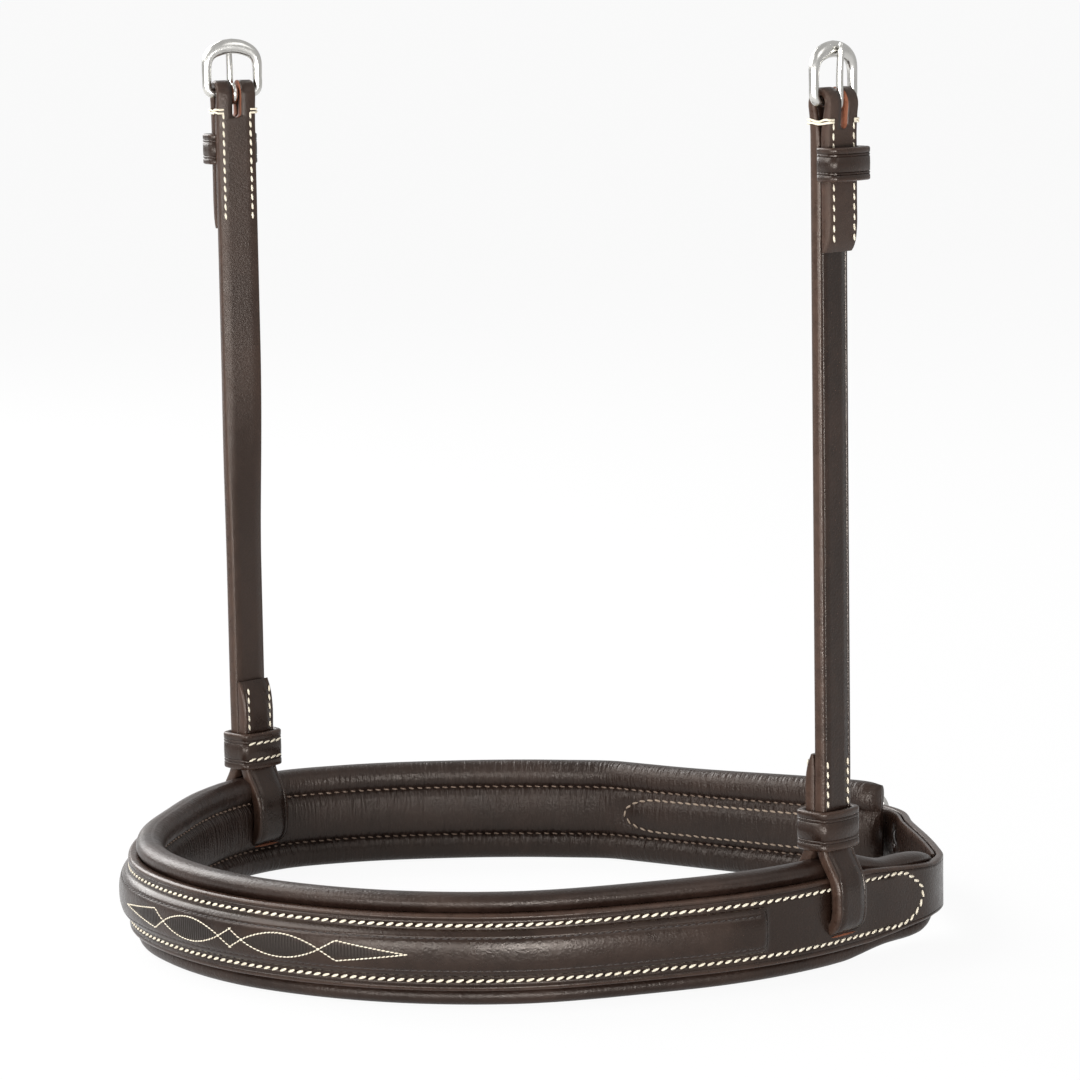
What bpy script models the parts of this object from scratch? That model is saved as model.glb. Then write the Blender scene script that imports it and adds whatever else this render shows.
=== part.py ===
"""Padded bridle noseband with two buckled hangers, as separate solids.

Lengths are in metres. +Z is up, the nose is at -Y and the jaw closure at +Y. The band is swept along
a plan curve that starts at the jaw end and runs round the nose to the tip of the billet. Across the
band, n is the distance outward from the face where the strap lies on the padding.
"""
import math

import bmesh
import bpy
from mathutils import Matrix, Vector

# Fits
GAP = 0.0003
SLACK = 0.0005
OVERRUN = 0.004
WELD_DISTANCE = 0.00001

# Plan of the ring, on the face between padding and strap, from the jaw end round to the closure
RING_WIDTH = 0.2272
RING_DEPTH = 0.2250
RING_PLAN_SHARES = (
    (0.474, 0.969), (-0.319, 0.796), (-0.478, 0.700), (-0.722, 0.484), (-0.912, 0.235), (-0.989, 0.060),
    (-0.993, -0.115), (-0.940, -0.290), (-0.825, -0.500), (-0.670, -0.727), (-0.486, -0.885),
    (-0.250, -0.975), (-0.010, -1.000), (0.236, -0.957), (0.456, -0.862), (0.679, -0.682),
    (0.850, -0.400), (0.965, -0.120), (1.000, 0.105), (1.000, 0.250), (1.004, 0.395), (0.998, 0.505),
    (0.953, 0.605), (0.878, 0.680), (0.795, 0.752), (0.620, 0.893),
)
JAW_STRAIGHT_SHARES = (0.0, 0.35, 0.70, 0.965)
PAD_RUN = 0.6330
NOSE_RUN = 0.3880
STATION_STEP = 0.0165
BILLET_STEP = 0.0065
PLAN_STEP = 0.0010
CLOSE_STATION_SHARE = 0.3

# Padding: a thin lining wrapped round foam, open under the strap
PAD_HEIGHT = 0.0320
PAD_THICKNESS = 0.0072
LINING_THICKNESS = 0.0011
PAD_END_RUN = 0.0260
PAD_JAW_RUN = 0.0100
PAD_SECTION_SHARES = (
    (0.00, 0.50), (0.00, 0.80), (-0.24, 1.00), (-0.62, 1.00), (-0.95, 0.83), (-0.97, 0.62),
    (-0.68, 0.485), (-0.92, 0.36), (-1.00, 0.00),
)
PAD_END_SHARES = ((0.0, 1.0), (0.35, 0.97), (0.65, 0.88), (0.88, 0.72), (1.0, 0.52))
PAD_JAW_LOSS_SHARES = (0.10, 0.35)
PAD_MITRE_SHARE = 0.5
FOAM_END_INSET = 0.0087

# Nose strap and its raised centre
STRAP_WIDTH = 0.0220
STRAP_THICKNESS = 0.0035
EDGE_ROUND = 0.0008
RAISED_WIDTH = 0.0135
RAISED_RISE = 0.0030
RAISED_SHOULDER = 0.0021
RAISED_KNEE_SHARES = (0.3, 0.7)
RAISED_HALF_RUN = 0.1600
RAISED_STEP_RUN = 0.0030
CORE_WIDTH = 0.0092
STRAP_JAW_INSET = 0.0020

# Billet: the strap's own narrow end over a thinner second layer
BILLET_WIDTH = 0.0160
BILLET_TOP_THICKNESS = 0.0022
BILLET_LINING_THICKNESS = 0.0015
BILLET_NARROWING_RUN = 0.0300
BILLET_POINT_RUN = 0.0120
BILLET_POINT_SHARES = (0.6, 0.3, 0.1, 0.0)
BILLET_POINT_FULLNESS_SHARE = 0.93
BILLET_TIP_INSET = 0.0820
HOLE_RADIUS = 0.0018
HOLE_PITCH = 0.0160
HOLE_STEPS = (-2, -1, 1, 2, 3)

# Jaw closure, with insets measured in from the jaw end of the padding
CHAPE_WIDTH = 0.0160
CHAPE_THICKNESS = 0.0020
CHAPE_END = 0.0880
CHAPE_TAIL_RUN = 0.0120
CHAPE_FOLD_SHARE = 0.4
CLOSURE_BAR_INSET = 0.0175
CLOSURE_FRONT_INSET = 0.0035
CLOSURE_FRONT_LIFT = 0.0054
CLOSURE_WIRE_RADIUS = 0.0014
CLOSURE_TONGUE_RADIUS = 0.0010
CLOSURE_KEEPER_INSETS = (0.0420, 0.0660)
CLOSURE_KEEPER_LENGTH = 0.0100
CLOSURE_TONGUE_LIFTS = tuple(math.radians(angle) for angle in (0, 5, 10))
BILLET_ROUTE_SHARES = (
    (-0.23, -0.25), (0.00, 0.09), (0.20, 0.30), (0.57, 0.72), (0.76, 0.93), (1.00, 1.02), (1.26, 1.00),
)
BILLET_REST_INSETS = (0.0300, 0.0380, 0.0460, 0.0600)
BILLET_REST_SHARES = (0.36, 0.03, 0.00, 0.00)

# Hangers
HANGER_WIDTH = 0.0127
HANGER_THICKNESS = 0.0038
HANGER_AXIS_HEIGHT = 0.0334
HANGER_SPLIT_ANGLE = math.radians(22)
LOWER_TURN_TOP = 0.0620
TOP_BAR_HEIGHT = 0.2498
UPPER_TURN_RUN = 0.0418
SLOT_HEIGHT = 0.0119
LOOP_HALF_WIDTH = 0.0059
LOOP_SHOULDER_HEIGHT = 0.0255
LOOP_PEAK_HEIGHT = 0.0303
LOOP_FOOT_SHARES = (0.30, 0.35)
LOOP_NECK_SHARES = (0.22, 0.45)
LOOP_WAIST_SHARE = 0.25
LOOP_PEAK_SHARE = 0.45
RIGHT_HANGER_LIMIT = 0.0250
SKIVE_RUN = 0.0050
SKIVE_EDGE_SHARE = 0.35
STRAP_FACE_STEP = 0.0120
TWIST_SHARES = (0.26, 0.74)
LEFT_TWIST = math.radians(-24)

# Keepers on the hangers
KEEPER_LEATHER = 0.0018
KEEPER_INNER_LEATHER = 0.0012
SLIDING_KEEPER_HEIGHT = 0.0115
SLIDING_KEEPER_LIFT = 0.0018
FIXED_KEEPER_HEIGHT = 0.0095
FIXED_KEEPER_DROP = 0.0221
FIXED_KEEPER_ROOM = 0.0021
KEEPER_CORNER = 0.0012
KEEPER_INNER_CORNER = 0.0004

# Hanger buckles
WIRE_RADIUS = 0.0015
TONGUE_RADIUS = 0.0011
FOLD_LEATHER = 0.0024
FRAME_LENGTH = 0.0130
FRAME_ARCH = 0.0025
FRAME_CORNER = 0.0040
CROWN_SHARE = 1.45
FRAME_TURN_SHARE = 0.8
FRAME_CROWN_SHARES = (0.6, 0.25)
TONGUE_TIP_RUN = 0.0020
TONGUE_SLOT_DROP = 0.0076
TONGUE_CURL_ANGLE = math.radians(255)
TONGUE_SHANK_SHARES = (0.4, 0.8, 1.0)
TONGUE_TAPER_SHARES = (0.9, 0.7)

# Facets
ROUND_STEPS = 12
CORNER_STEPS = 3
ROD_SIDES = 16
SHARP_ANGLE = math.radians(40)

COLOURS = {
    "strap_leather": ((0.040, 0.026, 0.021), 0.42, 0.0),
    "lining_leather": ((0.034, 0.022, 0.018), 0.60, 0.0),
    "foam": ((0.320, 0.300, 0.260), 0.95, 0.0),
    "steel": ((0.620, 0.610, 0.580), 0.22, 1.0),
}


def material(name):
    found = bpy.data.materials.get(name)
    if found:
        return found
    colour, roughness, metallic = COLOURS[name]
    made = bpy.data.materials.new(name)
    made.use_nodes = True
    shader = made.node_tree.nodes["Principled BSDF"]
    shader.inputs["Base Color"].default_value = (*colour, 1.0)
    shader.inputs["Roughness"].default_value = roughness
    shader.inputs["Metallic"].default_value = metallic
    return made


def clear_scene():
    for item in list(bpy.data.objects):
        bpy.data.objects.remove(item, do_unlink=True)


def new_collection(name):
    made = bpy.data.collections.new(name)
    bpy.context.scene.collection.children.link(made)
    return made


def place(item, collection, parent=None, matrix=None):
    collection.objects.link(item)
    if matrix is not None:
        item.matrix_local = matrix
    item.parent = parent
    return item


def pivot(name, location, parent=None, turn=0.0):
    empty = bpy.data.objects.new(name, None)
    return place(empty, PARTS, parent, Matrix.Translation(location) @ Matrix.Rotation(turn, 4, "Z"))


def shade_smooth(mesh):
    mesh.shade_smooth()
    mesh.set_sharp_from_angle(angle=SHARP_ANGLE)


# Curves in the plan


def through_points(points, step):
    """A smooth curve through unevenly spaced points, read every step of its length."""
    spans = [(b - a).length for a, b in zip(points, points[1:])]
    slopes = [(b - a) / span for a, b, span in zip(points, points[1:], spans)]
    headings = [slopes[0]]
    for before, after, here, there in zip(spans, spans[1:], slopes, slopes[1:]):
        headings.append((here * after + there * before) / (before + after))
    headings.append(slopes[-1])
    fine = []
    for a, b, leave, arrive, span in zip(points, points[1:], headings, headings[1:], spans):
        count = max(2, math.ceil(span / step))
        for i in range(count):
            t = i / count
            fine.append(a * (1 + 2 * t) * (1 - t) ** 2 + leave * span * t * (1 - t) ** 2
                        + b * (3 - 2 * t) * t ** 2 + arrive * span * (t - 1) * t ** 2)
    return [*fine, points[-1]]


class Track:
    """A plan curve read by distance along it; outward is to the right of travel."""

    def __init__(self, points):
        self.points = through_points(points, PLAN_STEP)
        self.marks = [0.0]
        for a, b in zip(self.points, self.points[1:]):
            self.marks.append(self.marks[-1] + (b - a).length)
        self.length = self.marks[-1]

    def at(self, run):
        low = 0
        high = len(self.marks) - 1
        while high - low > 1:
            middle = (low + high) // 2
            if self.marks[middle] <= run:
                low = middle
            else:
                high = middle
        share = (run - self.marks[low]) / (self.marks[high] - self.marks[low])
        return self.points[low].lerp(self.points[high], share)

    def outward(self, run):
        ahead = self.at(min(run + PLAN_STEP, self.length))
        behind = self.at(max(run - PLAN_STEP, 0))
        along = (ahead - behind).normalized()
        return Vector((along.y, -along.x))

    def nearest_run(self, wanted):
        best = min(range(len(self.points)), key=lambda i: wanted(self.points[i]))
        return self.marks[best]


def stations(start, end, step, extra=()):
    count = max(1, round((end - start) / step))
    runs = [start + (end - start) * i / count for i in range(count + 1)]
    close = step * CLOSE_STATION_SHARE
    kept = [r for r in runs if all(abs(r - e) > close for e in extra) or r in (start, end)]
    return sorted({*kept, *(e for e in extra if start < e < end)})


def swept(name, track, runs, section, colour):
    """A closed loft whose section, a list of (n, z) points, may change from run to run."""
    shape = bmesh.new()
    rings = []
    for run in runs:
        foot = track.at(run)
        out = track.outward(run)
        rings.append([shape.verts.new((foot.x + out.x * n, foot.y + out.y * n, z)) for n, z in section(run)])
    for here, there in zip(rings, rings[1:]):
        for i, corner in enumerate(here):
            after = (i + 1) % len(here)
            shape.faces.new((corner, here[after], there[after], there[i]))
    bmesh.ops.triangulate(shape, faces=shape.faces)
    shape.faces.new(rings[0][::-1])
    shape.faces.new(rings[-1])
    bmesh.ops.recalc_face_normals(shape, faces=shape.faces)
    mesh = bpy.data.meshes.new(name)
    shape.to_mesh(mesh)
    shape.free()
    shade_smooth(mesh)
    mesh.materials.append(material(colour))
    return place(bpy.data.objects.new(name, mesh), PARTS, ROOT)


# Outlines cut from sheet


def as_mesh(item, name, colour=None):
    """The curve object as a welded mesh object of the same place and parent."""
    bpy.context.view_layer.update()
    evaluated = item.evaluated_get(bpy.context.evaluated_depsgraph_get())
    mesh = bpy.data.meshes.new_from_object(evaluated)
    mesh.name = name
    shape = bmesh.new()
    shape.from_mesh(mesh)
    bmesh.ops.remove_doubles(shape, verts=shape.verts, dist=WELD_DISTANCE)
    bmesh.ops.recalc_face_normals(shape, faces=shape.faces)
    shape.to_mesh(mesh)
    shape.free()
    made = bpy.data.objects.new(name, mesh)
    collection = item.users_collection[0]
    local = item.matrix_local.copy()
    parent = item.parent
    curve = item.data
    bpy.data.objects.remove(item)
    bpy.data.curves.remove(curve)
    if colour:
        mesh.materials.clear()
        mesh.materials.append(material(colour))
        shade_smooth(mesh)
    return place(made, collection, parent, local)


# An outline drawn in (n, z) and given its width along Y
UPRIGHT = Matrix(((1, 0, 0, 0), (0, 0, -1, 0), (0, 1, 0, 0), (0, 0, 0, 1)))


def sheet(name, outlines, thickness, colour, parent, matrix, collection=None):
    """Closed outlines, the first outside and the rest holes, as a slab of the given thickness."""
    curve = bpy.data.curves.new(name, "CURVE")
    curve.dimensions = "2D"
    curve.fill_mode = "BOTH"
    curve.extrude = thickness / 2
    for outline in outlines:
        spline = curve.splines.new("POLY")
        spline.points.add(len(outline) - 1)
        for point, (x, y) in zip(spline.points, outline):
            point.co = (x, y, 0, 1)
        spline.use_cyclic_u = True
    item = bpy.data.objects.new(name + "_outline", curve)
    place(item, collection or PARTS, parent, matrix)
    return as_mesh(item, name, colour)


def wire(name, points, radius, colour, parent, matrix=None, closed=False, swell=None):
    curve = bpy.data.curves.new(name, "CURVE")
    curve.dimensions = "3D"
    curve.bevel_depth = radius
    curve.bevel_resolution = 2
    curve.use_fill_caps = not closed
    spline = curve.splines.new("POLY")
    spline.points.add(len(points) - 1)
    for point, where, share in zip(spline.points, points, swell or [1.0] * len(points)):
        point.co = (*where, 1)
        point.radius = share
    spline.use_cyclic_u = closed
    item = bpy.data.objects.new(name + "_path", curve)
    place(item, PARTS, parent, matrix or Matrix.Identity(4))
    return as_mesh(item, name, colour)


def arc(centre, radius, start, end, steps=ROUND_STEPS):
    """Points from angle start to angle end, in radians, about a centre."""
    angles = [start + (end - start) * i / steps for i in range(steps + 1)]
    return [(centre[0] + radius * math.cos(a), centre[1] + radius * math.sin(a)) for a in angles]


def rounded_box(low_x, high_x, low_y, high_y, radius):
    quarter = math.pi / 2
    corners = ((high_x, high_y, 0), (low_x, high_y, 1), (low_x, low_y, 2), (high_x, low_y, 3))
    points = []
    for x, y, turn in corners:
        centre = (x - math.copysign(radius, x - (low_x + high_x) / 2),
                  y - math.copysign(radius, y - (low_y + high_y) / 2))
        points += arc(centre, radius, turn * quarter, (turn + 1) * quarter, CORNER_STEPS)
    return points


def box_cutter(name, low, high, parent, matrix=None):
    bpy.ops.mesh.primitive_cube_add(size=1)
    item = bpy.context.object
    item.name = name
    size = [b - a for a, b in zip(low, high)]
    centre = [(a + b) / 2 for a, b in zip(low, high)]
    item.data.transform(Matrix.Translation(centre) @ Matrix.Diagonal((*size, 1)))
    return as_cutter(item, parent, matrix)


def rod_cutter(name, radius, start, end, parent, matrix=None, sides=ROD_SIDES):
    bpy.ops.mesh.primitive_cylinder_add(vertices=sides, radius=radius, depth=(end - start).length)
    item = bpy.context.object
    item.name = name
    turn = (end - start).to_track_quat("Z", "Y").to_matrix().to_4x4()
    item.data.transform(Matrix.Translation((start + end) / 2) @ turn)
    return as_cutter(item, parent, matrix)


def as_cutter(item, parent, matrix=None):
    for collection in list(item.users_collection):
        collection.objects.unlink(item)
    place(item, CUTTERS, parent, matrix or Matrix.Identity(4))
    item.hide_render = True
    item.display_type = "WIRE"
    return item


def cut(item, cutter, solver="EXACT"):
    """Cut one closed mesh by another; the band's long lofts stay closed only with MANIFOLD."""
    change = item.modifiers.new("cut_" + cutter.name, "BOOLEAN")
    change.operation = "DIFFERENCE"
    change.solver = solver
    change.object = cutter


# The band


def pad_outline(height_share, depth_share):
    """The lining's outer face from its upper lip round to its lower lip, as (n, z) about mid height."""
    depth = PAD_THICKNESS * depth_share
    height = PAD_HEIGHT / 2 * height_share
    half = [(n * depth, z * height) for n, z in PAD_SECTION_SHARES]
    return half + [(n, -z) for n, z in half[-2::-1]]


def inset(outline, distance):
    """An open outline moved sideways into the padding by a distance."""
    moved = []
    for i, (n, z) in enumerate(outline):
        sides = []
        for a, b in ((i - 1, i), (i, i + 1)):
            if 0 <= a and b < len(outline):
                along = Vector((outline[b][0] - outline[a][0], outline[b][1] - outline[a][1])).normalized()
                sides.append(Vector((along.y, -along.x)))
        normal = sum(sides, Vector((0, 0))).normalized()
        reach = distance / max(PAD_MITRE_SHARE, normal.dot(sides[0]))
        moved.append((n - normal.x * reach, z - normal.y * reach))
    return moved


def fade(table, share):
    """The table's second value at a share, in straight lines between its rows."""
    for (x0, y0), (x1, y1) in zip(table, table[1:]):
        if share <= x1:
            return y0 + (y1 - y0) * (share - x0) / (x1 - x0)
    return table[-1][1]


def pad_shares(run):
    """Height and depth of the padding as shares of their full size, drawn in at both ends."""
    tip = max(0.0, (run - (PAD_RUN - PAD_END_RUN)) / PAD_END_RUN)
    jaw = max(0.0, (PAD_JAW_RUN - run) / PAD_JAW_RUN)
    height_loss, depth_loss = PAD_JAW_LOSS_SHARES
    full = fade(PAD_END_SHARES, tip)
    return full * (1 - height_loss * jaw), full * (1 - depth_loss * jaw)


def lining_section(run):
    outer = pad_outline(*pad_shares(run))
    inner = inset(outer, LINING_THICKNESS)
    return [(n, z + MIDDLE) for n, z in outer + inner[::-1]]


def foam_section(run):
    inner = inset(pad_outline(*pad_shares(run)), LINING_THICKNESS + GAP)
    return [(n, z + MIDDLE) for n, z in inner]


def raised_share(run):
    over = abs(run - NOSE_RUN) - RAISED_HALF_RUN
    return min(1.0, max(0.0, -over / RAISED_STEP_RUN))


def strap_width(run):
    start = RIGHT_RUN + HANGER_WIDTH
    share = min(1.0, max(0.0, (run - start) / BILLET_NARROWING_RUN))
    width = STRAP_WIDTH + (BILLET_WIDTH - STRAP_WIDTH) * share
    into_point = max(0.0, (run - (TIP_RUN - BILLET_POINT_RUN)) / BILLET_POINT_RUN)
    return width * math.sqrt(1 - (BILLET_POINT_FULLNESS_SHARE * into_point) ** 2)


def strap_inner_face(run):
    """Where the strap's inner face lies; it is pared away from inside to make the billet's top layer."""
    start = PAD_RUN - BILLET_NARROWING_RUN / 2
    share = min(1.0, max(0.0, (run - start) / BILLET_NARROWING_RUN * 2))
    return GAP + (STRAP_THICKNESS - BILLET_TOP_THICKNESS) * share


def strap_section(run):
    face = GAP + STRAP_THICKNESS
    inner = strap_inner_face(run)
    half = strap_width(run) / 2
    narrow = 2 * half / STRAP_WIDTH
    rise = RAISED_RISE * raised_share(run)
    foot = RAISED_WIDTH / 2 * narrow
    knee = foot - RAISED_SHOULDER * RAISED_KNEE_SHARES[0] * narrow
    crown = foot - RAISED_SHOULDER * narrow
    trim = EDGE_ROUND * narrow
    upper = [(inner, half), (face - trim, half), (face, half - trim), (face, foot),
             (face + RAISED_KNEE_SHARES[1] * rise, knee), (face + rise, crown)]
    lower = [(n, -z) for n, z in upper[::-1]]
    return [(n, z + MIDDLE) for n, z in upper + lower]


def core_section(run):
    half = CORE_WIDTH / 2
    top = GAP + RAISED_RISE
    low = GAP
    return [(n, z + MIDDLE) for n, z in (
        (low, half), (top - EDGE_ROUND, half), (top, half - EDGE_ROUND),
        (top, EDGE_ROUND - half), (top - EDGE_ROUND, -half), (low, -half))]


def core_room_section(run):
    half = CORE_WIDTH / 2 + GAP
    top = 2 * GAP + RAISED_RISE
    return [(n, z + MIDDLE) for n, z in ((-OVERRUN, half), (top, half), (top, -half), (-OVERRUN, -half))]


def billet_lining_section(run):
    inner = strap_inner_face(TIP_RUN) - GAP - BILLET_LINING_THICKNESS
    outer = inner + BILLET_LINING_THICKNESS
    half = strap_width(run) / 2
    return [(n, z + MIDDLE) for n, z in ((inner, half), (outer, half), (outer, -half), (inner, -half))]


def build_band():
    tapering = [PAD_RUN - PAD_END_RUN * (1 - share) for share, _ in PAD_END_SHARES[:-1]]
    band_runs = stations(0, PAD_RUN, STATION_STEP, tapering)
    lining = swept("padding_lining", TRACK, band_runs, lining_section, "lining_leather")
    foam_runs = [r for r in band_runs if PAD_JAW_RUN / 2 < r < PAD_RUN - FOAM_END_INSET]
    foam = swept("foam_core", TRACK, foam_runs, foam_section, "foam")

    low = NOSE_RUN - RAISED_HALF_RUN
    high = NOSE_RUN + RAISED_HALF_RUN
    steps = [low, low + RAISED_STEP_RUN, high - RAISED_STEP_RUN, high]
    over_pad = [STRAP_JAW_INSET, *[r for r in band_runs[1:] if r < PAD_RUN - PAD_END_RUN]]
    over_pad = [r for r in over_pad if all(abs(r - s) > RAISED_STEP_RUN for s in steps)]
    past_pad = stations(PAD_RUN - PAD_END_RUN, TIP_RUN - BILLET_POINT_RUN, BILLET_STEP)
    point = [TIP_RUN - BILLET_POINT_RUN * s for s in BILLET_POINT_SHARES]
    strap = swept("nose_strap", TRACK, sorted([*over_pad, *steps, *past_pad, *point]), strap_section,
                  "strap_leather")

    inside = [r for r in over_pad if low + 2 * RAISED_STEP_RUN < r < high - 2 * RAISED_STEP_RUN]
    ends = (low + 2 * RAISED_STEP_RUN, high - 2 * RAISED_STEP_RUN)
    swept("raised_core", TRACK, [ends[0], *inside, ends[1]], core_section, "lining_leather")
    room_runs = [ends[0] - GAP, *inside, ends[1] + GAP]
    room = swept("core_room", TRACK, room_runs, core_room_section, "lining_leather")
    cut(strap, as_cutter(room, ROOT), "MANIFOLD")

    second = [r for r in [*past_pad, *point] if r > PAD_RUN + GAP]
    billet_lining = swept("billet_lining", TRACK, second, billet_lining_section, "lining_leather")
    return lining, foam, strap, billet_lining


# Hangers


def loop_outlines(clearance=0.0):
    """The loop through the band: outer and inner outline in (n, z), grown by a clearance."""
    thick = HANGER_THICKNESS
    outer_half = LOOP_HALF_WIDTH + thick + clearance
    inner_half = LOOP_HALF_WIDTH - clearance
    neck = thick + clearance
    base = SLOT_HEIGHT - thick / 2 - clearance
    floor = SLOT_HEIGHT + thick / 2 + clearance
    shoulder = LOOP_SHOULDER_HEIGHT
    peak = LOOP_PEAK_HEIGHT - clearance
    foot_in, foot_up = [thick * share for share in LOOP_FOOT_SHARES]
    neck_in, neck_up = [thick * share for share in LOOP_NECK_SHARES]
    right = [(0.0, base), (outer_half - thick, base), (outer_half - foot_in, base + foot_up),
             (outer_half, base + thick), (outer_half, shoulder), (outer_half - neck_in, shoulder + neck_up),
             (neck, HANGER_AXIS_HEIGHT - LOOP_WAIST_SHARE * thick)]
    top = arc((0.0, HANGER_AXIS_HEIGHT), neck, 0.0, math.pi)
    outer = right + top + [(-n, z) for n, z in right[:0:-1]]
    half = [(0.0, floor), (inner_half - foot_up, floor), (inner_half, floor + foot_up),
            (inner_half, shoulder - clearance), (LOOP_PEAK_SHARE * inner_half, (2 * peak + shoulder) / 3),
            (0.0, peak)]
    inner = half + [(-n, z) for n, z in half[-2:0:-1]]
    return outer, inner


def hanger_outline():
    """Side view of the strap above its swing axis: doubled, single, then doubled again to the fold."""
    thick = HANGER_THICKNESS
    reach = thick + GAP
    side = HANGER_AXIS_HEIGHT + reach * math.sin(HANGER_SPLIT_ANGLE)
    notch = arc((0.0, HANGER_AXIS_HEIGHT), reach, math.pi - HANGER_SPLIT_ANGLE, HANGER_SPLIT_ANGLE)
    count = round((UPPER_TURN_END - LOWER_TURN_TOP) / STRAP_FACE_STEP)
    rise = [LOWER_TURN_TOP + (UPPER_TURN_END - LOWER_TURN_TOP) * i / count for i in range(1, count)]
    fold = FOLD_LEATHER + WIRE_RADIUS + GAP
    spread = math.acos(thick / fold)
    fold_start = TOP_BAR_HEIGHT - fold * math.sin(spread)
    edge = SKIVE_EDGE_SHARE * thick
    outer_side = [(thick, side), *[(thick, z) for z in rise], (thick, UPPER_TURN_END),
                  (thick + edge, UPPER_TURN_END + edge / 2), (2 * thick, UPPER_TURN_END + SKIVE_RUN),
                  (2 * thick, fold_start)]
    top = arc((thick, TOP_BAR_HEIGHT), fold, -spread, math.pi + spread, 2 * ROUND_STEPS)[1:-1]
    inner_side = [(0.0, fold_start), *[(0.0, z) for z in rise[::-1]], (0.0, LOWER_TURN_TOP),
                  (-edge, LOWER_TURN_TOP - edge / 2), (-thick, LOWER_TURN_TOP - SKIVE_RUN), (-thick, side)]
    return notch[1:-1] + outer_side + top + inner_side


def ring_outlines(low_n, high_n, half_width, inner_leather):
    """A keeper seen from above: leather round an opening, its low_n side of its own thickness."""
    leather = KEEPER_LEATHER
    outer = rounded_box(low_n - inner_leather, high_n + leather, -half_width - leather, half_width + leather,
                        KEEPER_CORNER)
    inner = rounded_box(low_n, high_n, -half_width, half_width, KEEPER_INNER_CORNER)
    return outer, inner


def frame_path(half_width, length, arch, corner):
    """A buckle frame in its own plane: the heel bar along Y at the origin, the front bar up Z."""
    quarter = math.pi / 2
    foot = corner / 2
    side = length - corner
    right = arc((half_width - foot, foot), foot, -quarter, 0.0, CORNER_STEPS)
    turn = quarter * FRAME_TURN_SHARE
    right += arc((half_width - corner, side), corner, 0.0, turn, CORNER_STEPS)
    lift = side + corner * math.sin(turn)
    flat = half_width - corner + corner * math.cos(turn)
    crown = [(flat * s, lift + arch * math.cos(quarter * s)) for s in FRAME_CROWN_SHARES]
    half = right + crown
    points = half + [(-y, z) for y, z in half[::-1]]
    return [(0.0, y, z) for y, z in points]


def build_buckle(name, parent, half_gap, length, arch, wire_radius, tongue_radius):
    """A frame on its heel bar and a tongue curled round the bar and lying on the front bar."""
    half_width = half_gap + wire_radius
    path = frame_path(half_width, length, arch, FRAME_CORNER)
    side = length - FRAME_CORNER
    swell = [1 + (CROWN_SHARE - 1) * max(0.0, min(1.0, (z - side) / FRAME_CORNER)) for _, _, z in path]
    frame = wire(name + "_frame", path, wire_radius, "steel", parent, closed=True, swell=swell)

    curl = wire_radius + GAP + tongue_radius
    top = max(z for _, _, z in path)
    landing = Vector((wire_radius * CROWN_SHARE + GAP + tongue_radius, top))
    start = math.atan2(landing.y, landing.x) - math.acos(curl / landing.length)
    turn = arc((0.0, 0.0), curl, start - TONGUE_CURL_ANGLE, start, ROUND_STEPS)
    leave = Vector(turn[-1])
    tip = landing + (landing - leave).normalized() * TONGUE_TIP_RUN
    shank = [leave.lerp(tip, share) for share in TONGUE_SHANK_SHARES]
    points = [(x, 0.0, z) for x, z in [*turn, *shank]]
    taper = [1.0] * (len(turn) + 1) + [*TONGUE_TAPER_SHARES]
    tongue = wire(name + "_tongue", points, tongue_radius, "steel", parent, swell=taper)
    return frame, tongue, leave, tip


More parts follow.
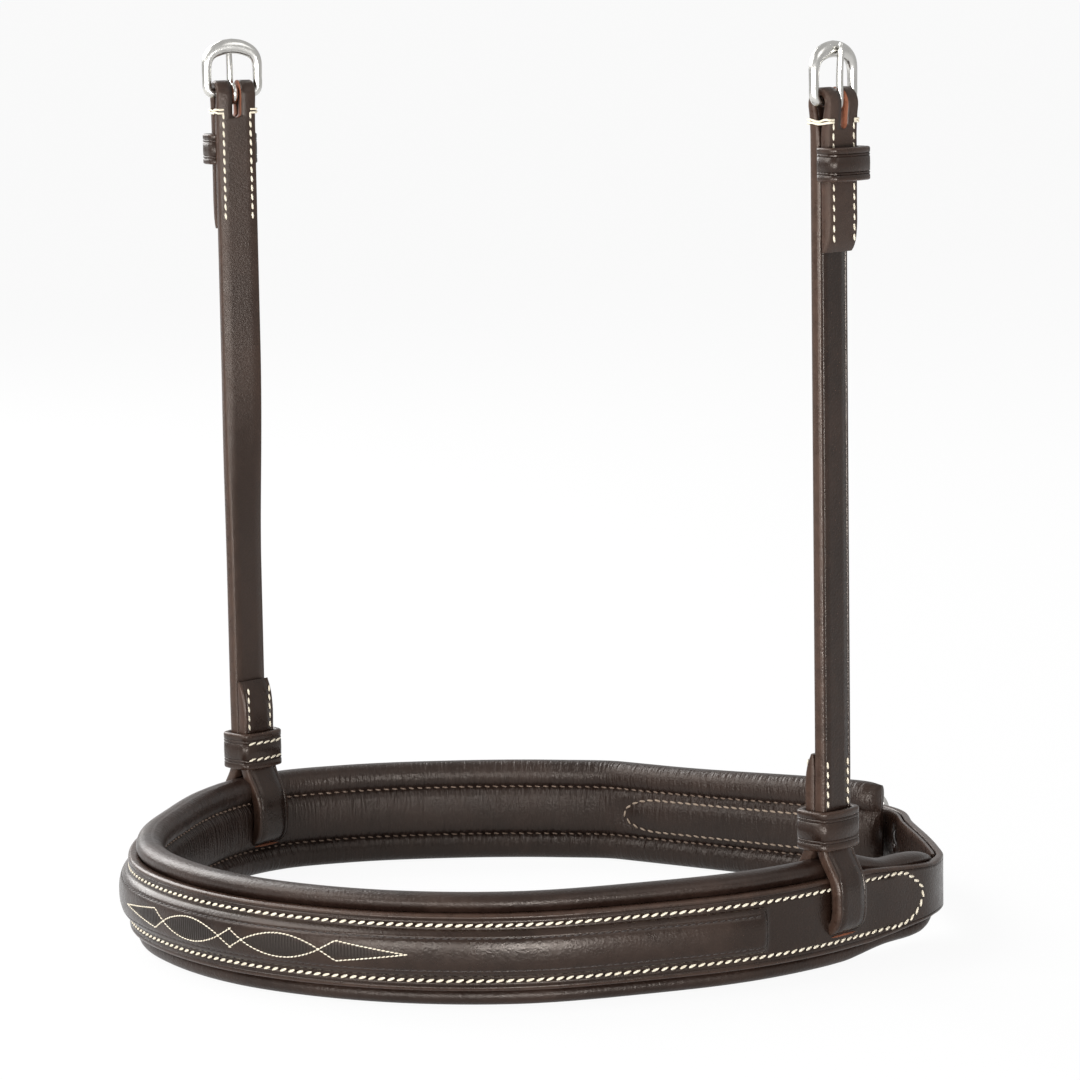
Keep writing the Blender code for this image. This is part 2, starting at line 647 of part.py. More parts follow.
def build_hanger(side, run, turn, twist):
    out = TRACK.outward(run)
    foot = TRACK.at(run) + out * (GAP + STRAP_THICKNESS - PAD_THICKNESS) / 2
    base = Matrix.Translation((*foot, 0)) @ Matrix.Rotation(turn, 4, "Z")
    width = HANGER_WIDTH
    half = width / 2 + GAP
    sheet(side + "_hanger_loop", loop_outlines(), width, "strap_leather", ROOT, base @ UPRIGHT)
    passage = sheet(side + "_slot", loop_outlines(GAP), width + 2 * GAP, None, ROOT, base @ UPRIGHT, CUTTERS)
    as_cutter(passage, ROOT, base @ UPRIGHT)
    for layer in BAND_LAYERS[:3]:
        cut(layer, passage, "MANIFOLD")

    swing = pivot(side + "_hanger_pivot", (*foot, HANGER_AXIS_HEIGHT), ROOT, turn)
    down = Matrix.Translation((0, 0, -HANGER_AXIS_HEIGHT))
    bar_hole = arc((HANGER_THICKNESS, TOP_BAR_HEIGHT), WIRE_RADIUS + GAP, 0, -2 * math.pi, 2 * ROUND_STEPS)
    strap = sheet(side + "_hanger_strap", [hanger_outline(), bar_hole[:-1]], width, "strap_leather", swing,
                  down @ UPRIGHT)
    fold_reach = 2 * HANGER_THICKNESS + OVERRUN
    slot_half = TONGUE_RADIUS + SLACK
    cut(strap, box_cutter(side + "_tongue_slot", (-fold_reach, -slot_half, TOP_BAR_HEIGHT - TONGUE_SLOT_DROP),
                          (fold_reach, slot_half, TOP_BAR_HEIGHT + fold_reach), swing, down))
    inner_run = HANGER_THICKNESS - KEEPER_INNER_LEATHER / 2
    keeper_top = FIXED_KEEPER_BASE + FIXED_KEEPER_HEIGHT
    cut(strap, box_cutter(side + "_keeper_pocket", (inner_run - GAP, -width, FIXED_KEEPER_BASE - GAP),
                          (inner_run + KEEPER_INNER_LEATHER + GAP, width, keeper_top + GAP), swing, down))

    top = pivot(side + "_hanger_top", (0, 0, 0), swing, twist)
    if twist:
        start = pivot(side + "_twist_start", (0, 0, TWIST_START - HANGER_AXIS_HEIGHT), swing)
        lowest = HANGER_AXIS_HEIGHT + (HANGER_THICKNESS + GAP) * math.sin(HANGER_SPLIT_ANGLE)
        highest = TOP_BAR_HEIGHT + FOLD_LEATHER + WIRE_RADIUS + GAP
        bend = strap.modifiers.new("twist", "SIMPLE_DEFORM")
        bend.deform_method = "TWIST"
        bend.deform_axis = "Z"
        bend.origin = start
        bend.angle = twist
        bend.limits = [(height - lowest) / (highest - lowest) for height in (TWIST_START, TWIST_END)]

    middle = FIXED_KEEPER_BASE + FIXED_KEEPER_HEIGHT / 2 - HANGER_AXIS_HEIGHT
    sheet(side + "_fixed_keeper",
          ring_outlines(inner_run + KEEPER_INNER_LEATHER, 2 * HANGER_THICKNESS + FIXED_KEEPER_ROOM, half,
                        KEEPER_INNER_LEATHER),
          FIXED_KEEPER_HEIGHT, "strap_leather", top, Matrix.Translation((0, 0, middle)))
    clear = HANGER_THICKNESS + GAP
    slide_height = SLIDING_KEEPER_LIFT + SLIDING_KEEPER_HEIGHT / 2
    slide = pivot(side + "_keeper_slide", (0, 0, slide_height), swing)
    sheet(side + "_sliding_keeper", ring_outlines(-clear, clear, half, KEEPER_LEATHER), SLIDING_KEEPER_HEIGHT,
          "strap_leather", slide, Matrix.Identity(4))
    bar = pivot(side + "_buckle_pivot", (HANGER_THICKNESS, 0, TOP_BAR_HEIGHT - HANGER_AXIS_HEIGHT), top)
    build_buckle(side + "_buckle", bar, width / 2 + SLACK, FRAME_LENGTH, FRAME_ARCH, WIRE_RADIUS,
                 TONGUE_RADIUS)


# Jaw closure


def closure_frame(track_start, track_ahead):
    """Axes at the jaw end: X out past the end, Y outward from the ring, Z up, at mid height."""
    away = (track_start - track_ahead).normalized()
    return Matrix(((away.x, -away.y, 0, track_start.x), (away.y, away.x, 0, track_start.y),
                   (0, 0, 1, MIDDLE), (0, 0, 0, 1)))


def plan_points():
    corners = [Vector((x * RING_WIDTH / 2, y * RING_DEPTH / 2)) for x, y in RING_PLAN_SHARES]
    start, jaw_end = corners[:2]
    straight = [start.lerp(jaw_end, share) for share in JAW_STRAIGHT_SHARES]
    at_jaw = closure_frame(start, jaw_end)
    rest = FACE + GAP + CHAPE_THICKNESS + BILLET_STANDOFF
    over = FOLD_TOP + BILLET_STANDOFF
    route = [(-x * CLOSURE_BAR_INSET, FACE + n * (over - FACE)) for x, n in BILLET_ROUTE_SHARES]
    route += [(-inset_run, rest + share * (over - rest))
              for inset_run, share in zip(BILLET_REST_INSETS, BILLET_REST_SHARES)]
    route += [(-BILLET_TIP_INSET, rest)]
    closing = [(at_jaw @ Vector((x, n, 0))).to_2d() for x, n in route]
    return straight + corners[1:] + closing, at_jaw


def build_closure():
    low = FACE + GAP
    layer = low + CHAPE_THICKNESS
    tail = layer + CHAPE_THICKNESS
    bar = -CLOSURE_BAR_INSET
    fold = FOLD_TOP - BAR_HEIGHT
    tail_end = bar - CHAPE_TAIL_RUN
    outline = [(-CHAPE_END, low), (bar, low)]
    outline += arc((bar, BAR_HEIGHT), fold, -math.pi / 2, math.pi / 2)[1:]
    outline += [(bar - fold, tail + fold * CHAPE_FOLD_SHARE), (bar - 2 * fold, tail), (tail_end, tail - GAP),
                (tail_end - CHAPE_THICKNESS, layer), (CHAPE_THICKNESS - CHAPE_END, layer),
                (-CHAPE_END, (low + layer) / 2)]
    hole = arc((bar, BAR_HEIGHT), CLOSURE_WIRE_RADIUS + GAP, 0, -2 * math.pi)[:-1]
    chape = sheet("buckle_chape", [outline, hole], CHAPE_WIDTH, "strap_leather", ROOT, AT_JAW)
    slot_half = CLOSURE_TONGUE_RADIUS + SLACK
    cut(chape, box_cutter("closure_tongue_slot", (bar - 2 * fold, FACE - OVERRUN, -slot_half),
                          (bar + 2 * fold, FOLD_TOP + OVERRUN, slot_half), ROOT, AT_JAW))

    reach = Vector((CLOSURE_BAR_INSET - CLOSURE_FRONT_INSET, CLOSURE_FRONT_LIFT))
    ahead = reach.normalized()
    seat = AT_JAW @ Matrix(((-ahead.y, 0, ahead.x, bar), (ahead.x, 0, ahead.y, BAR_HEIGHT),
                            (0, 1, 0, 0), (0, 0, 0, 1)))
    joint = place(bpy.data.objects.new("closure_buckle_pivot", None), PARTS, ROOT, seat)
    _, _, leave, tip = build_buckle("closure_buckle", joint, CHAPE_WIDTH / 2 + SLACK, reach.length, 0.0,
                                    CLOSURE_WIRE_RADIUS, CLOSURE_TONGUE_RADIUS)
    reach_on = (tip - leave).normalized() * OVERRUN
    for lift in CLOSURE_TONGUE_LIFTS:
        ends = [Matrix.Rotation(lift, 4, "Y") @ Vector((p.x, 0, p.y)) for p in (leave, tip + reach_on)]
        rod = rod_cutter("tongue_hole", CLOSURE_TONGUE_RADIUS + SLACK, *ends, joint)
        for layer_object in BILLET_LAYERS:
            cut(layer_object, rod, "MANIFOLD")

    inner_half = CHAPE_WIDTH / 2 + GAP
    outer_half = inner_half + KEEPER_LEATHER
    roof = layer + BILLET_STANDOFF + BILLET_OUTER + GAP
    trim = KEEPER_LEATHER / 2
    arch = [(outer_half, low), (outer_half, roof + trim), (outer_half - trim, roof + KEEPER_LEATHER)]
    arch += [(-z, n) for z, n in arch[::-1]]
    arch += [(-inner_half, low), (-inner_half, roof), (inner_half, roof), (inner_half, low)]
    across = Matrix(((0, 0, -1, 0), (0, 1, 0, 0), (1, 0, 0, 0), (0, 0, 0, 1)))
    for label, from_end in zip(("near", "far"), CLOSURE_KEEPER_INSETS):
        where = AT_JAW @ Matrix.Translation((-from_end - CLOSURE_KEEPER_LENGTH / 2, 0, 0)) @ across
        sheet("closure_keeper_" + label, [arch], CLOSURE_KEEPER_LENGTH, "strap_leather", ROOT, where)


def punch_holes():
    """Spare holes through both layers of the billet, at equal steps from the tongue's hole."""
    middle = AT_JAW @ Vector((-CLOSURE_BAR_INSET / 2, FACE, 0))
    here = TRACK.nearest_run(lambda p: (p - middle.to_2d()).length)
    for step in HOLE_STEPS:
        run = here - step * HOLE_PITCH
        foot = TRACK.at(run)
        out = TRACK.outward(run)
        ends = [Vector((*(foot + out * n), MIDDLE)) for n in (-OVERRUN, BILLET_OUTER + OVERRUN)]
        rod = rod_cutter("billet_hole", HOLE_RADIUS, *ends, ROOT, sides=ROUND_STEPS)
        for layer in BILLET_LAYERS:
            cut(layer, rod, "MANIFOLD")


def centre_on_floor():
    """Move the whole part so that its box is centred on the origin in plan."""
    bpy.context.view_layer.update()
    graph = bpy.context.evaluated_depsgraph_get()
    corners = []
    for item in PARTS.objects:
        if item.type == "MESH":
            shown = item.evaluated_get(graph)
            corners += [shown.matrix_world @ v.co for v in shown.data.vertices]
    for axis in (0, 1):
        reach = [c[axis] for c in corners]
        ROOT.location[axis] = -(min(reach) + max(reach)) / 2
    bpy.context.view_layer.update()


clear_scene()
PARTS = new_collection("noseband")
CUTTERS = new_collection("noseband_cutters")
ROOT = place(bpy.data.objects.new("noseband_origin", None), PARTS)

MIDDLE = PAD_HEIGHT / 2
FACE = GAP + STRAP_THICKNESS
BILLET_STANDOFF = GAP + BILLET_LINING_THICKNESS + GAP - (FACE - BILLET_TOP_THICKNESS)
BILLET_OUTER = FACE
BAR_HEIGHT = FACE + GAP + CHAPE_THICKNESS + GAP + CLOSURE_WIRE_RADIUS
FOLD_TOP = BAR_HEIGHT + CLOSURE_WIRE_RADIUS + GAP + CHAPE_THICKNESS
UPPER_TURN_END = TOP_BAR_HEIGHT - UPPER_TURN_RUN
FIXED_KEEPER_BASE = TOP_BAR_HEIGHT - FIXED_KEEPER_DROP
SINGLE_RUN = UPPER_TURN_END - LOWER_TURN_TOP
TWIST_START, TWIST_END = [LOWER_TURN_TOP + SINGLE_RUN * share for share in TWIST_SHARES]

POINTS, AT_JAW = plan_points()
TRACK = Track(POINTS)
TIP_RUN = TRACK.length
LEFT_RUN = TRACK.nearest_run(lambda p: p.x)
RIGHT_RUN = TRACK.nearest_run(lambda p: -p.x if p.y < RIGHT_HANGER_LIMIT else 0)

BAND_LAYERS = build_band()
BILLET_LAYERS = BAND_LAYERS[2:]
build_closure()
punch_holes()
build_hanger("right", RIGHT_RUN, 0.0, 0.0)
build_hanger("left", LEFT_RUN, math.pi, LEFT_TWIST)
centre_on_floor()
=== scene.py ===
"""Looks of a padded bridle noseband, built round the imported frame.

Points are drawn in millimetres and become metres when a mesh is made. +Z is up, the nose is at -Y and
the jaw closure at +Y. Round the ring, run is the distance along the band from its jaw end, n the
distance outward from the face where the strap lies on the padding, and w the height above mid band.
"""
from bisect import bisect_right
from math import acos, atan2, ceil, copysign, cos, exp, hypot, pi, radians, sin, sqrt, tau

import bmesh
import bpy
from mathutils import Matrix, Vector


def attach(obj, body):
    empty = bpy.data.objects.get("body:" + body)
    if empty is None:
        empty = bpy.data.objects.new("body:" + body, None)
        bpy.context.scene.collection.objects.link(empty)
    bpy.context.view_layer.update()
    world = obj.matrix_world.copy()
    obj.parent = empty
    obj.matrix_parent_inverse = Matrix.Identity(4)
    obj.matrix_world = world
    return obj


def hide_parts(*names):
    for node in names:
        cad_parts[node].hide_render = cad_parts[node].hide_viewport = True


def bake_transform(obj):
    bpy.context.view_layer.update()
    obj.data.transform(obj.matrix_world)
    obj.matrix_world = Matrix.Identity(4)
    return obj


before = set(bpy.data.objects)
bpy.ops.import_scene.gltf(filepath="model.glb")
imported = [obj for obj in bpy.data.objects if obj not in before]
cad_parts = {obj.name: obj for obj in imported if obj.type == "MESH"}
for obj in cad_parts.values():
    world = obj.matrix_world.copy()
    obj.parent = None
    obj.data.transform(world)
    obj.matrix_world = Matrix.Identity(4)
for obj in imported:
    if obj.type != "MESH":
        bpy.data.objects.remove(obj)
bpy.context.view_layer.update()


# Padding of the ring
# Soft lining leather wrapped round felt. Two rows of stitches draw it in against the nose strap, so it
# stands out as a roll above and below the strap and as three soft ridges towards the horse.

MM = 0.001
MID_HEIGHT = 16.0
RING_SHIFT = Vector((0.868, -3.155))
RING_HALF_SIZE = (113.6, 112.5)
RING_PLAN_SHARES = (
    (0.474, 0.969), (-0.319, 0.796), (-0.478, 0.700), (-0.722, 0.484), (-0.912, 0.235), (-0.989, 0.060),
    (-0.993, -0.115), (-0.940, -0.290), (-0.825, -0.500), (-0.670, -0.727), (-0.486, -0.885),
    (-0.250, -0.975), (-0.010, -1.000), (0.236, -0.957), (0.456, -0.862), (0.679, -0.682),
    (0.850, -0.400), (0.965, -0.120), (1.000, 0.105), (1.000, 0.250), (1.004, 0.395), (0.998, 0.505),
    (0.953, 0.605), (0.878, 0.680), (0.795, 0.752), (0.620, 0.893),
)
JAW_STRAIGHT_SHARES = (0.0, 0.35, 0.70, 0.965)
CLOSING_ROUTE = (
    (4.025, 1.75), (0, 4.538), (-3.5, 6.26), (-9.975, 9.704), (-13.3, 11.426), (-17.5, 12.164),
    (-22.05, 12.0), (-30, 8.544), (-38, 6.762), (-46, 6.6), (-60, 6.6), (-82, 6.6),
)
PAD_TAPER_START = 607.0
PAD_TAPER_RUN = 27.9
PAD_END_RUNS = (633.2, 633.9, 634.4, 634.7)
PAD_JAW_RUNS = (-2.3, -2.15, -1.8, -1.2, -0.4, 0.6, 1.7)
PAD_JAW_ROUNDING = 10.0
THINNING_RANGE = (584.0, 606.0)
UPPER_THINNING = 0.28
LOWER_THINNING = 0.14
FULLER_RANGE = (75.0, 5.0)
UPPER_FULLNESS = 0.09
PAD_HALF_SECTION = (
    (-0.1, 0.0), (-0.1, 10.2), (0.5, 11.3), (1.25, 12.4), (1.35, 13.7), (0.5, 15.1), (-1.5, 15.95),
    (-4.0, 15.9), (-6.1, 14.7), (-7.15, 12.4), (-6.9, 10.0), (-5.7, 8.5), (-4.85, 7.76), (-5.6, 7.0),
    (-6.7, 5.5), (-7.2, 3.0), (-7.35, 0.0),
)
SEAM_HEIGHT = 7.76
OUTER_SEAM_HEIGHT = 11.6
STITCH_PITCH = 2.82
SEAM_PUCKER = 0.20
OUTER_SEAM_PUCKER = 0.08
INNER_WAVE = 0.16
INNER_FACE = -3.9
OUTLINE_RUN = 76
OUTLINE_NOSE = 12
OUTLINE_HALF = 5.2
CHAPE_SINK = 0.75
CHAPE_SINK_END = 95


def between(low, high, value):
    """0 at low, 1 at high, and a smooth step between them."""
    share = min(1.0, max(0.0, (value - low) / (high - low)))
    return share * share * (3 - 2 * share)


def smooth_line(points, step, least=2):
    """A smooth curve through the points, read at about every step of its length."""
    spans = [(b - a).length for a, b in zip(points, points[1:])]
    slopes = [(b - a) / span for a, b, span in zip(points, points[1:], spans)]
    headings = [slopes[0]]
    for before, after, here, there in zip(spans, spans[1:], slopes, slopes[1:]):
        headings.append((here * after + there * before) / (before + after))
    headings.append(slopes[-1])
    line = []
    for a, b, leave, arrive, span in zip(points, points[1:], headings, headings[1:], spans):
        count = max(least, ceil(span / step))
        for i in range(count):
            t = i / count
            line.append(a * (1 + 2 * t) * (1 - t) ** 2 + leave * span * t * (1 - t) ** 2
                        + b * (3 - 2 * t) * t ** 2 + arrive * span * (t - 1) * t ** 2)
    return [*line, points[-1].copy()]


class Band:
    """The plan curve that the whole band follows, read by run."""

    def __init__(self, points):
        self.points = smooth_line(points, 1.0)
        self.marks = [0.0]
        for a, b in zip(self.points, self.points[1:]):
            self.marks.append(self.marks[-1] + (b - a).length)
        self.length = self.marks[-1]

    def at(self, run):
        i = min(max(bisect_right(self.marks, run) - 1, 0), len(self.points) - 2)
        share = (run - self.marks[i]) / (self.marks[i + 1] - self.marks[i])
        return self.points[i] + (self.points[i + 1] - self.points[i]) * share

    def out(self, run):
        along = self.at(run + 1) - self.at(run - 1)
        return Vector((along.y, -along.x, 0)).normalized()

    def place(self, run, n, w):
        return self.at(run).to_3d() + self.out(run) * n + Vector((0, 0, MID_HEIGHT + w))

    def nearest_run(self, place):
        best = min(range(len(self.points)), key=lambda i: (self.points[i] - place).length)
        return self.marks[best]


corners = [Vector((x * RING_HALF_SIZE[0], y * RING_HALF_SIZE[1])) + RING_SHIFT for x, y in RING_PLAN_SHARES]
jaw_out_along = (corners[0] - corners[1]).normalized()
at_jaw = Matrix(((jaw_out_along.x, -jaw_out_along.y, 0, corners[0].x),
                 (jaw_out_along.y, jaw_out_along.x, 0, corners[0].y),
                 (0, 0, 1, MID_HEIGHT), (0, 0, 0, 1)))
jaw_straight = [corners[0].lerp(corners[1], share) for share in JAW_STRAIGHT_SHARES]
closing = [(at_jaw @ Vector((x, n, 0))).to_2d() for x, n in CLOSING_ROUTE]
band = Band(jaw_straight + corners[1:] + closing)


def placed(name, data):
    """A new object in the scene, at the origin."""
    piece = bpy.data.objects.new(name, data)
    bpy.context.scene.collection.objects.link(piece)
    return piece


def skin(name, rings, runs, traits=None, loop=False):
    """A closed skin over rings of points; its UV map is the distance along and round it in metres."""
    count = len(rings[0])
    rows = len(rings)
    widest = rings[rows // 2]
    girth = [0.0]
    for a, b in zip(widest, widest[1:] + widest[:1]):
        girth.append(girth[-1] + (b - a).length)
    faces = []
    spots = []
    for i in range(rows if loop else rows - 1):
        k = (i + 1) % rows
        for j in range(count):
            m = (j + 1) % count
            faces.append((i * count + j, i * count + m, k * count + m, k * count + j))
            spots += [(runs[i], girth[j]), (runs[i], girth[j + 1]), (runs[i + 1], girth[j + 1]),
                      (runs[i + 1], girth[j])]
    if not loop:
        for i, order in ((0, range(count - 1, -1, -1)), (rows - 1, range(count))):
            faces.append([i * count + j for j in order])
            spots += [(runs[i], girth[j]) for j in order]
    mesh = bpy.data.meshes.new(name)
    mesh.from_pydata([p * MM for ring in rings for p in ring], [], faces)
    layer = mesh.uv_layers.new(name="distances")
    layer.data.foreach_set("uv", [c * MM for spot in spots for c in spot])
    for trait, values in (traits or {}).items():
        mesh.attributes.new(trait, "FLOAT", "POINT").data.foreach_set("value", values)
    shape = bmesh.new()
    shape.from_mesh(mesh)
    bmesh.ops.recalc_face_normals(shape, faces=shape.faces)
    shape.to_mesh(mesh)
    shape.free()
    mesh.shade_smooth()
    mesh.set_sharp_from_angle(angle=radians(50))
    return placed(name, mesh)


def chape_outline_distance(run, w):
    """How far a place inside the jaw end is from the stitched outline of the chape behind it."""
    if run <= OUTLINE_RUN:
        return abs(abs(w) - OUTLINE_HALF)
    past = (run - OUTLINE_RUN) / OUTLINE_NOSE
    return abs(hypot(past, w / OUTLINE_HALF) - 1) * OUTLINE_HALF


def pad_place(run, n, w):
    """A point of the padding's section, drawn in at both ends and puckered along its seams."""
    tip = max(0.0, (run - PAD_TAPER_START) / PAD_TAPER_RUN)
    jaw = max(0.0, 1 - (run - PAD_JAW_RUNS[0]) / PAD_JAW_ROUNDING)
    rounding = sqrt(max(0.0004, 1 - tip ** 3.2))
    thinning = between(*THINNING_RANGE, run) * (UPPER_THINNING if w > 0 else LOWER_THINNING)
    fuller = UPPER_FULLNESS * between(*FULLER_RANGE, run) if w > 0 else 0.0
    height = rounding * (1 - 0.07 * jaw ** 4) * (1 - thinning + fuller)
    depth = rounding * sqrt(1 - 0.90 * jaw ** 5)
    inside = between(-3.0, -5.0, n)
    beat = cos(tau * run / STITCH_PITCH)
    pull = SEAM_PUCKER * beat * exp(-((abs(w) - SEAM_HEIGHT) / 1.7) ** 2) * inside
    pull -= (OUTER_SEAM_PUCKER * beat * exp(-((abs(w) - OUTER_SEAM_HEIGHT) / 1.3) ** 2) * (1 - inside)
             * between(9.0, 11.0, abs(w)))
    pull += INNER_WAVE * sin(run / 23 + w / 9) * inside
    if run < CHAPE_SINK_END:
        pull += CHAPE_SINK * exp(-(chape_outline_distance(run, w) / 1.4) ** 2) * inside
    return band.place(run, (n + pull) * depth, w * height)


half = smooth_line([Vector(p) for p in PAD_HALF_SECTION], 1.2)
pad_section = half + [Vector((p.x, -p.y)) for p in half[-2:0:-1]]
pad_runs = [*PAD_JAW_RUNS]
pad_runs += [k * STITCH_PITCH / 3 for k in range(3, int(PAD_END_RUNS[0] * 3 / STITCH_PITCH))]
pad_runs += PAD_END_RUNS
seam = [0.4 + exp(-((abs(p.y) - SEAM_HEIGHT) / 2.8) ** 2) if p.x < INNER_FACE else 0.0
        for p in pad_section]
padding = skin("ring_padding", [[pad_place(run, p.x, p.y) for p in pad_section] for run in pad_runs],
               pad_runs, {"seam": seam * len(pad_runs)})


def add_node(tree, kind, settings=None, inputs=None):
    """A node with its settings, and with values or links in its sockets."""
    made = tree.nodes.new(kind)
    for key, value in (settings or {}).items():
        setattr(made, key, value)
    for key, value in (inputs or {}).items():
        if isinstance(value, Finish):
            value = value.socket
        if isinstance(value, bpy.types.NodeSocket):
            tree.links.new(value, made.inputs[key])
        else:
            made.inputs[key].default_value = value
    return made


class Finish:
    """One socket of a material, on which plain arithmetic adds Math nodes."""

    def __init__(self, tree, socket=None):
        self.tree = tree
        self.socket = socket

    def node(self, kind, settings=None, inputs=None, output=0):
        made = add_node(self.tree, "ShaderNode" + kind, settings, inputs)
        return Finish(self.tree, made.outputs[output])

    def math(self, operation, first, second):
        return self.node("Math", {"operation": operation}, {0: first, 1: second})

    def mix(self, share, first, second):
        """Between two colours, by a share."""
        return self.node("Mix", {"data_type": "RGBA"}, {0: share, 6: first, 7: second}, output=2)

    def noise(self, place, scale, detail, distortion=0.0):
        """Soft random patches at a place."""
        return self.node("TexNoise", inputs={
            "Vector": place, "Scale": scale, "Detail": detail, "Distortion": distortion})

    def trait(self, name):
        """A value that the mesh carries at each of its points."""
        return self.node("Attribute", {"attribute_name": name}, output=2)

    def feed(self, socket):
        self.tree.links.new(self.socket, socket)

    def emboss(self, shader, strength, distance):
        """Let this height shape the light on the shader's surface."""
        bump = self.node("Bump", {}, {"Strength": strength, "Distance": distance, "Height": self})
        bump.feed(shader.inputs["Normal"])

    def __add__(self, other):
        return self.math("ADD", self, other)

    def __sub__(self, other):
        return self.math("SUBTRACT", self, other)

    def __rsub__(self, other):
        return self.math("SUBTRACT", other, self)

    def __mul__(self, other):
        return self.math("MULTIPLY", self, other)

    __radd__ = __add__
    __rmul__ = __mul__


def new_finish(name):
    """A new material, its shader, and a start for the nodes that feed it."""
    made = bpy.data.materials.new(name)
    made.use_nodes = True
    return made, made.node_tree.nodes["Principled BSDF"], Finish(made.node_tree)


def dress(piece, material):
    """Give a piece its one material."""
    piece.data.materials.clear()
    piece.data.materials.append(material)


# Colour of the leather's edges: real wear that is paler, together with a painted highlight along them.
WORN_AND_HIGHLIT_EDGE = (0.058, 0.031, 0.021, 1.0)
SUEDE = (0.044, 0.026, 0.019, 1.0)
SHEEN_TINT = (1.0, 0.90, 0.82, 1.0)
SHEEN_LEVEL = 0.38


def leather(name, dark, light, roughness, grain, wrinkled=False):
    """Dyed and waxed hide: pores, slow patches of dye, paler edges, and a rough flesh side."""
    made, shader, hide = new_finish(name)
    place = hide.node("TexCoord", output=3)
    pores = hide.node("TexVoronoi", {"feature": "SMOOTH_F1"}, {"Vector": place, "Scale": 1350.0})
    fine = hide.noise(place, scale=3000.0, detail=2.0)
    patches = hide.noise(place, scale=46.0, detail=5.0)
    scuffs = hide.noise(place, scale=290.0, detail=4.0)
    flesh = hide.trait("flesh")
    shade = hide.trait("shade")
    colour = hide.mix((patches - 0.36) * 2.2 + (scuffs - 0.5) * 0.7, (*dark, 1.0), (*light, 1.0))
    # Edges painted paler: partly real wear, partly a painted highlight along the rounded edges.
    colour = hide.mix(hide.trait("edge") * (scuffs * 0.9 + 0.1), colour, WORN_AND_HIGHLIT_EDGE)
    colour = hide.mix(flesh * fine * 1.1, colour, SUEDE)
    # Painted shade: inside the stitched shapes the colour goes towards a dark copy of the leather.
    colour = hide.mix(shade * 0.85, colour, tuple(c * 0.3 for c in dark) + (1.0,))
    colour.feed(shader.inputs["Base Color"])
    rough = (scuffs - 0.5) * 0.26 + (patches - 0.5) * 0.20 + flesh * 0.28 + shade * 0.2 + roughness
    rough.feed(shader.inputs["Roughness"])
    spot = hide.node("TexCoord", output=2)
    ribs = hide.node("TexWave", {"bands_direction": "X"}, {"Vector": spot, "Scale": 330.0, "Distortion": 0.6})
    height = pores * 0.8 + fine * 0.5 + scuffs * 0.2 + flesh * fine * 1.6 + ribs * shade * 1.6
    if wrinkled:
        along = hide.node("VectorMath", {"operation": "MULTIPLY"}, {0: spot, 1: (1.0, 0.14, 1.0)})
        folds = hide.noise(along, scale=760.0, detail=3.0, distortion=0.5)
        height = height + folds * (hide.trait("seam") * 8.0 + 0.4)
    height.emboss(shader, strength=grain, distance=0.0002)
    shader.inputs["Specular IOR Level"].default_value = SHEEN_LEVEL
    shader.inputs["Specular Tint"].default_value = SHEEN_TINT
    return made


soft_lining = leather("soft_lining", dark=(0.0120, 0.0061, 0.0043), light=(0.026, 0.0140, 0.0100),
                      roughness=0.36, grain=0.60, wrinkled=True)
dress(padding, soft_lining)
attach(padding, "noseband")
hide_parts("padding_lining", "foam_core")


# Nose strap and billet
# Vegetable tanned strap leather, raised over a filler strip across the nose, creased along its edges
# and sewn to the padding. Past the padding it narrows to a punched point, the billet.

PAD_RUN = 633.0
RIGHT_RUN = 579.8
RAISED_START = 228.0
RAISED_END = 551.5
RAISED_HALF_WIDTH = 6.75
RAISED_RISE = 3.0
STRAP_BACK = 0.3
STRAP_FACE = 3.8
STRAP_START = 2.0
STRAP_HALF_WIDTH = 11.0
STRAP_CORNER = 4.0
STRAP_HALF_SECTION = (
    (0.30, 0.0, 0.0), (0.30, 6.0, 0.0), (0.32, 10.2, 0.1), (0.62, 10.75, 0.7), (1.30, 11.0, 1.0),
    (2.75, 11.0, 1.0), (3.40, 10.8, 1.0), (3.74, 10.35, 0.7), (3.84, 9.85, 0.2), (3.56, 9.5, 0.0),
    (3.80, 9.15, 0.0), (3.84, 8.8, 0.0), (3.76, 8.4, 0.0), (3.50, 8.12, 0.0), (3.42, 7.9, 0.0),
    (3.50, 7.68, 0.0), (3.76, 7.4, 0.0), (3.80, 7.1, 0.0),
)
STITCH_ROW = 7.9
GROOVE_END = 600.0
NEEDLE_DIP = 0.30
CROWN_SHARES = (1.0, 0.985, 0.955, 0.905, 0.82, 0.745, 0.695, 0.645, 0.55, 0.4, 0.2, 0.0)
TONAL_SHARE = 0.695
TONAL_DIP = 0.22
BILLET_HALF_WIDTH = 8.0
BILLET_NARROW_START = RIGHT_RUN + 12.7
BILLET_NARROWING = 30.0
BILLET_SKIVE = 1.3
BILLET_SKIVE_RUN = 15
BILLET_POINT = 12.0
BILLET_STEPS = 104


def crown(share):
    """Height of the raised centre, as a share, across half its width."""
    return max(0.0, 1 - share ** 2.6) ** 0.62


def raised(run):
    return between(0.0, 2.4, min(run - RAISED_START, RAISED_END - run))


def strap_rise(run, w):
    return RAISED_RISE * raised(run) * crown(min(1.0, abs(w) / RAISED_HALF_WIDTH))


def strap_half_width(run):
    narrowed = min(1.0, max(0.0, (run - BILLET_NARROW_START) / BILLET_NARROWING))
    width = STRAP_HALF_WIDTH - (STRAP_HALF_WIDTH - BILLET_HALF_WIDTH) * narrowed
    into_point = max(0.0, (run - (band.length - BILLET_POINT)) / BILLET_POINT)
    corner = max(0.0, STRAP_START + STRAP_CORNER - run)
    rounded = sqrt(STRAP_CORNER ** 2 - corner ** 2)
    return width * sqrt(1 - (0.93 * into_point) ** 2) - STRAP_CORNER + rounded


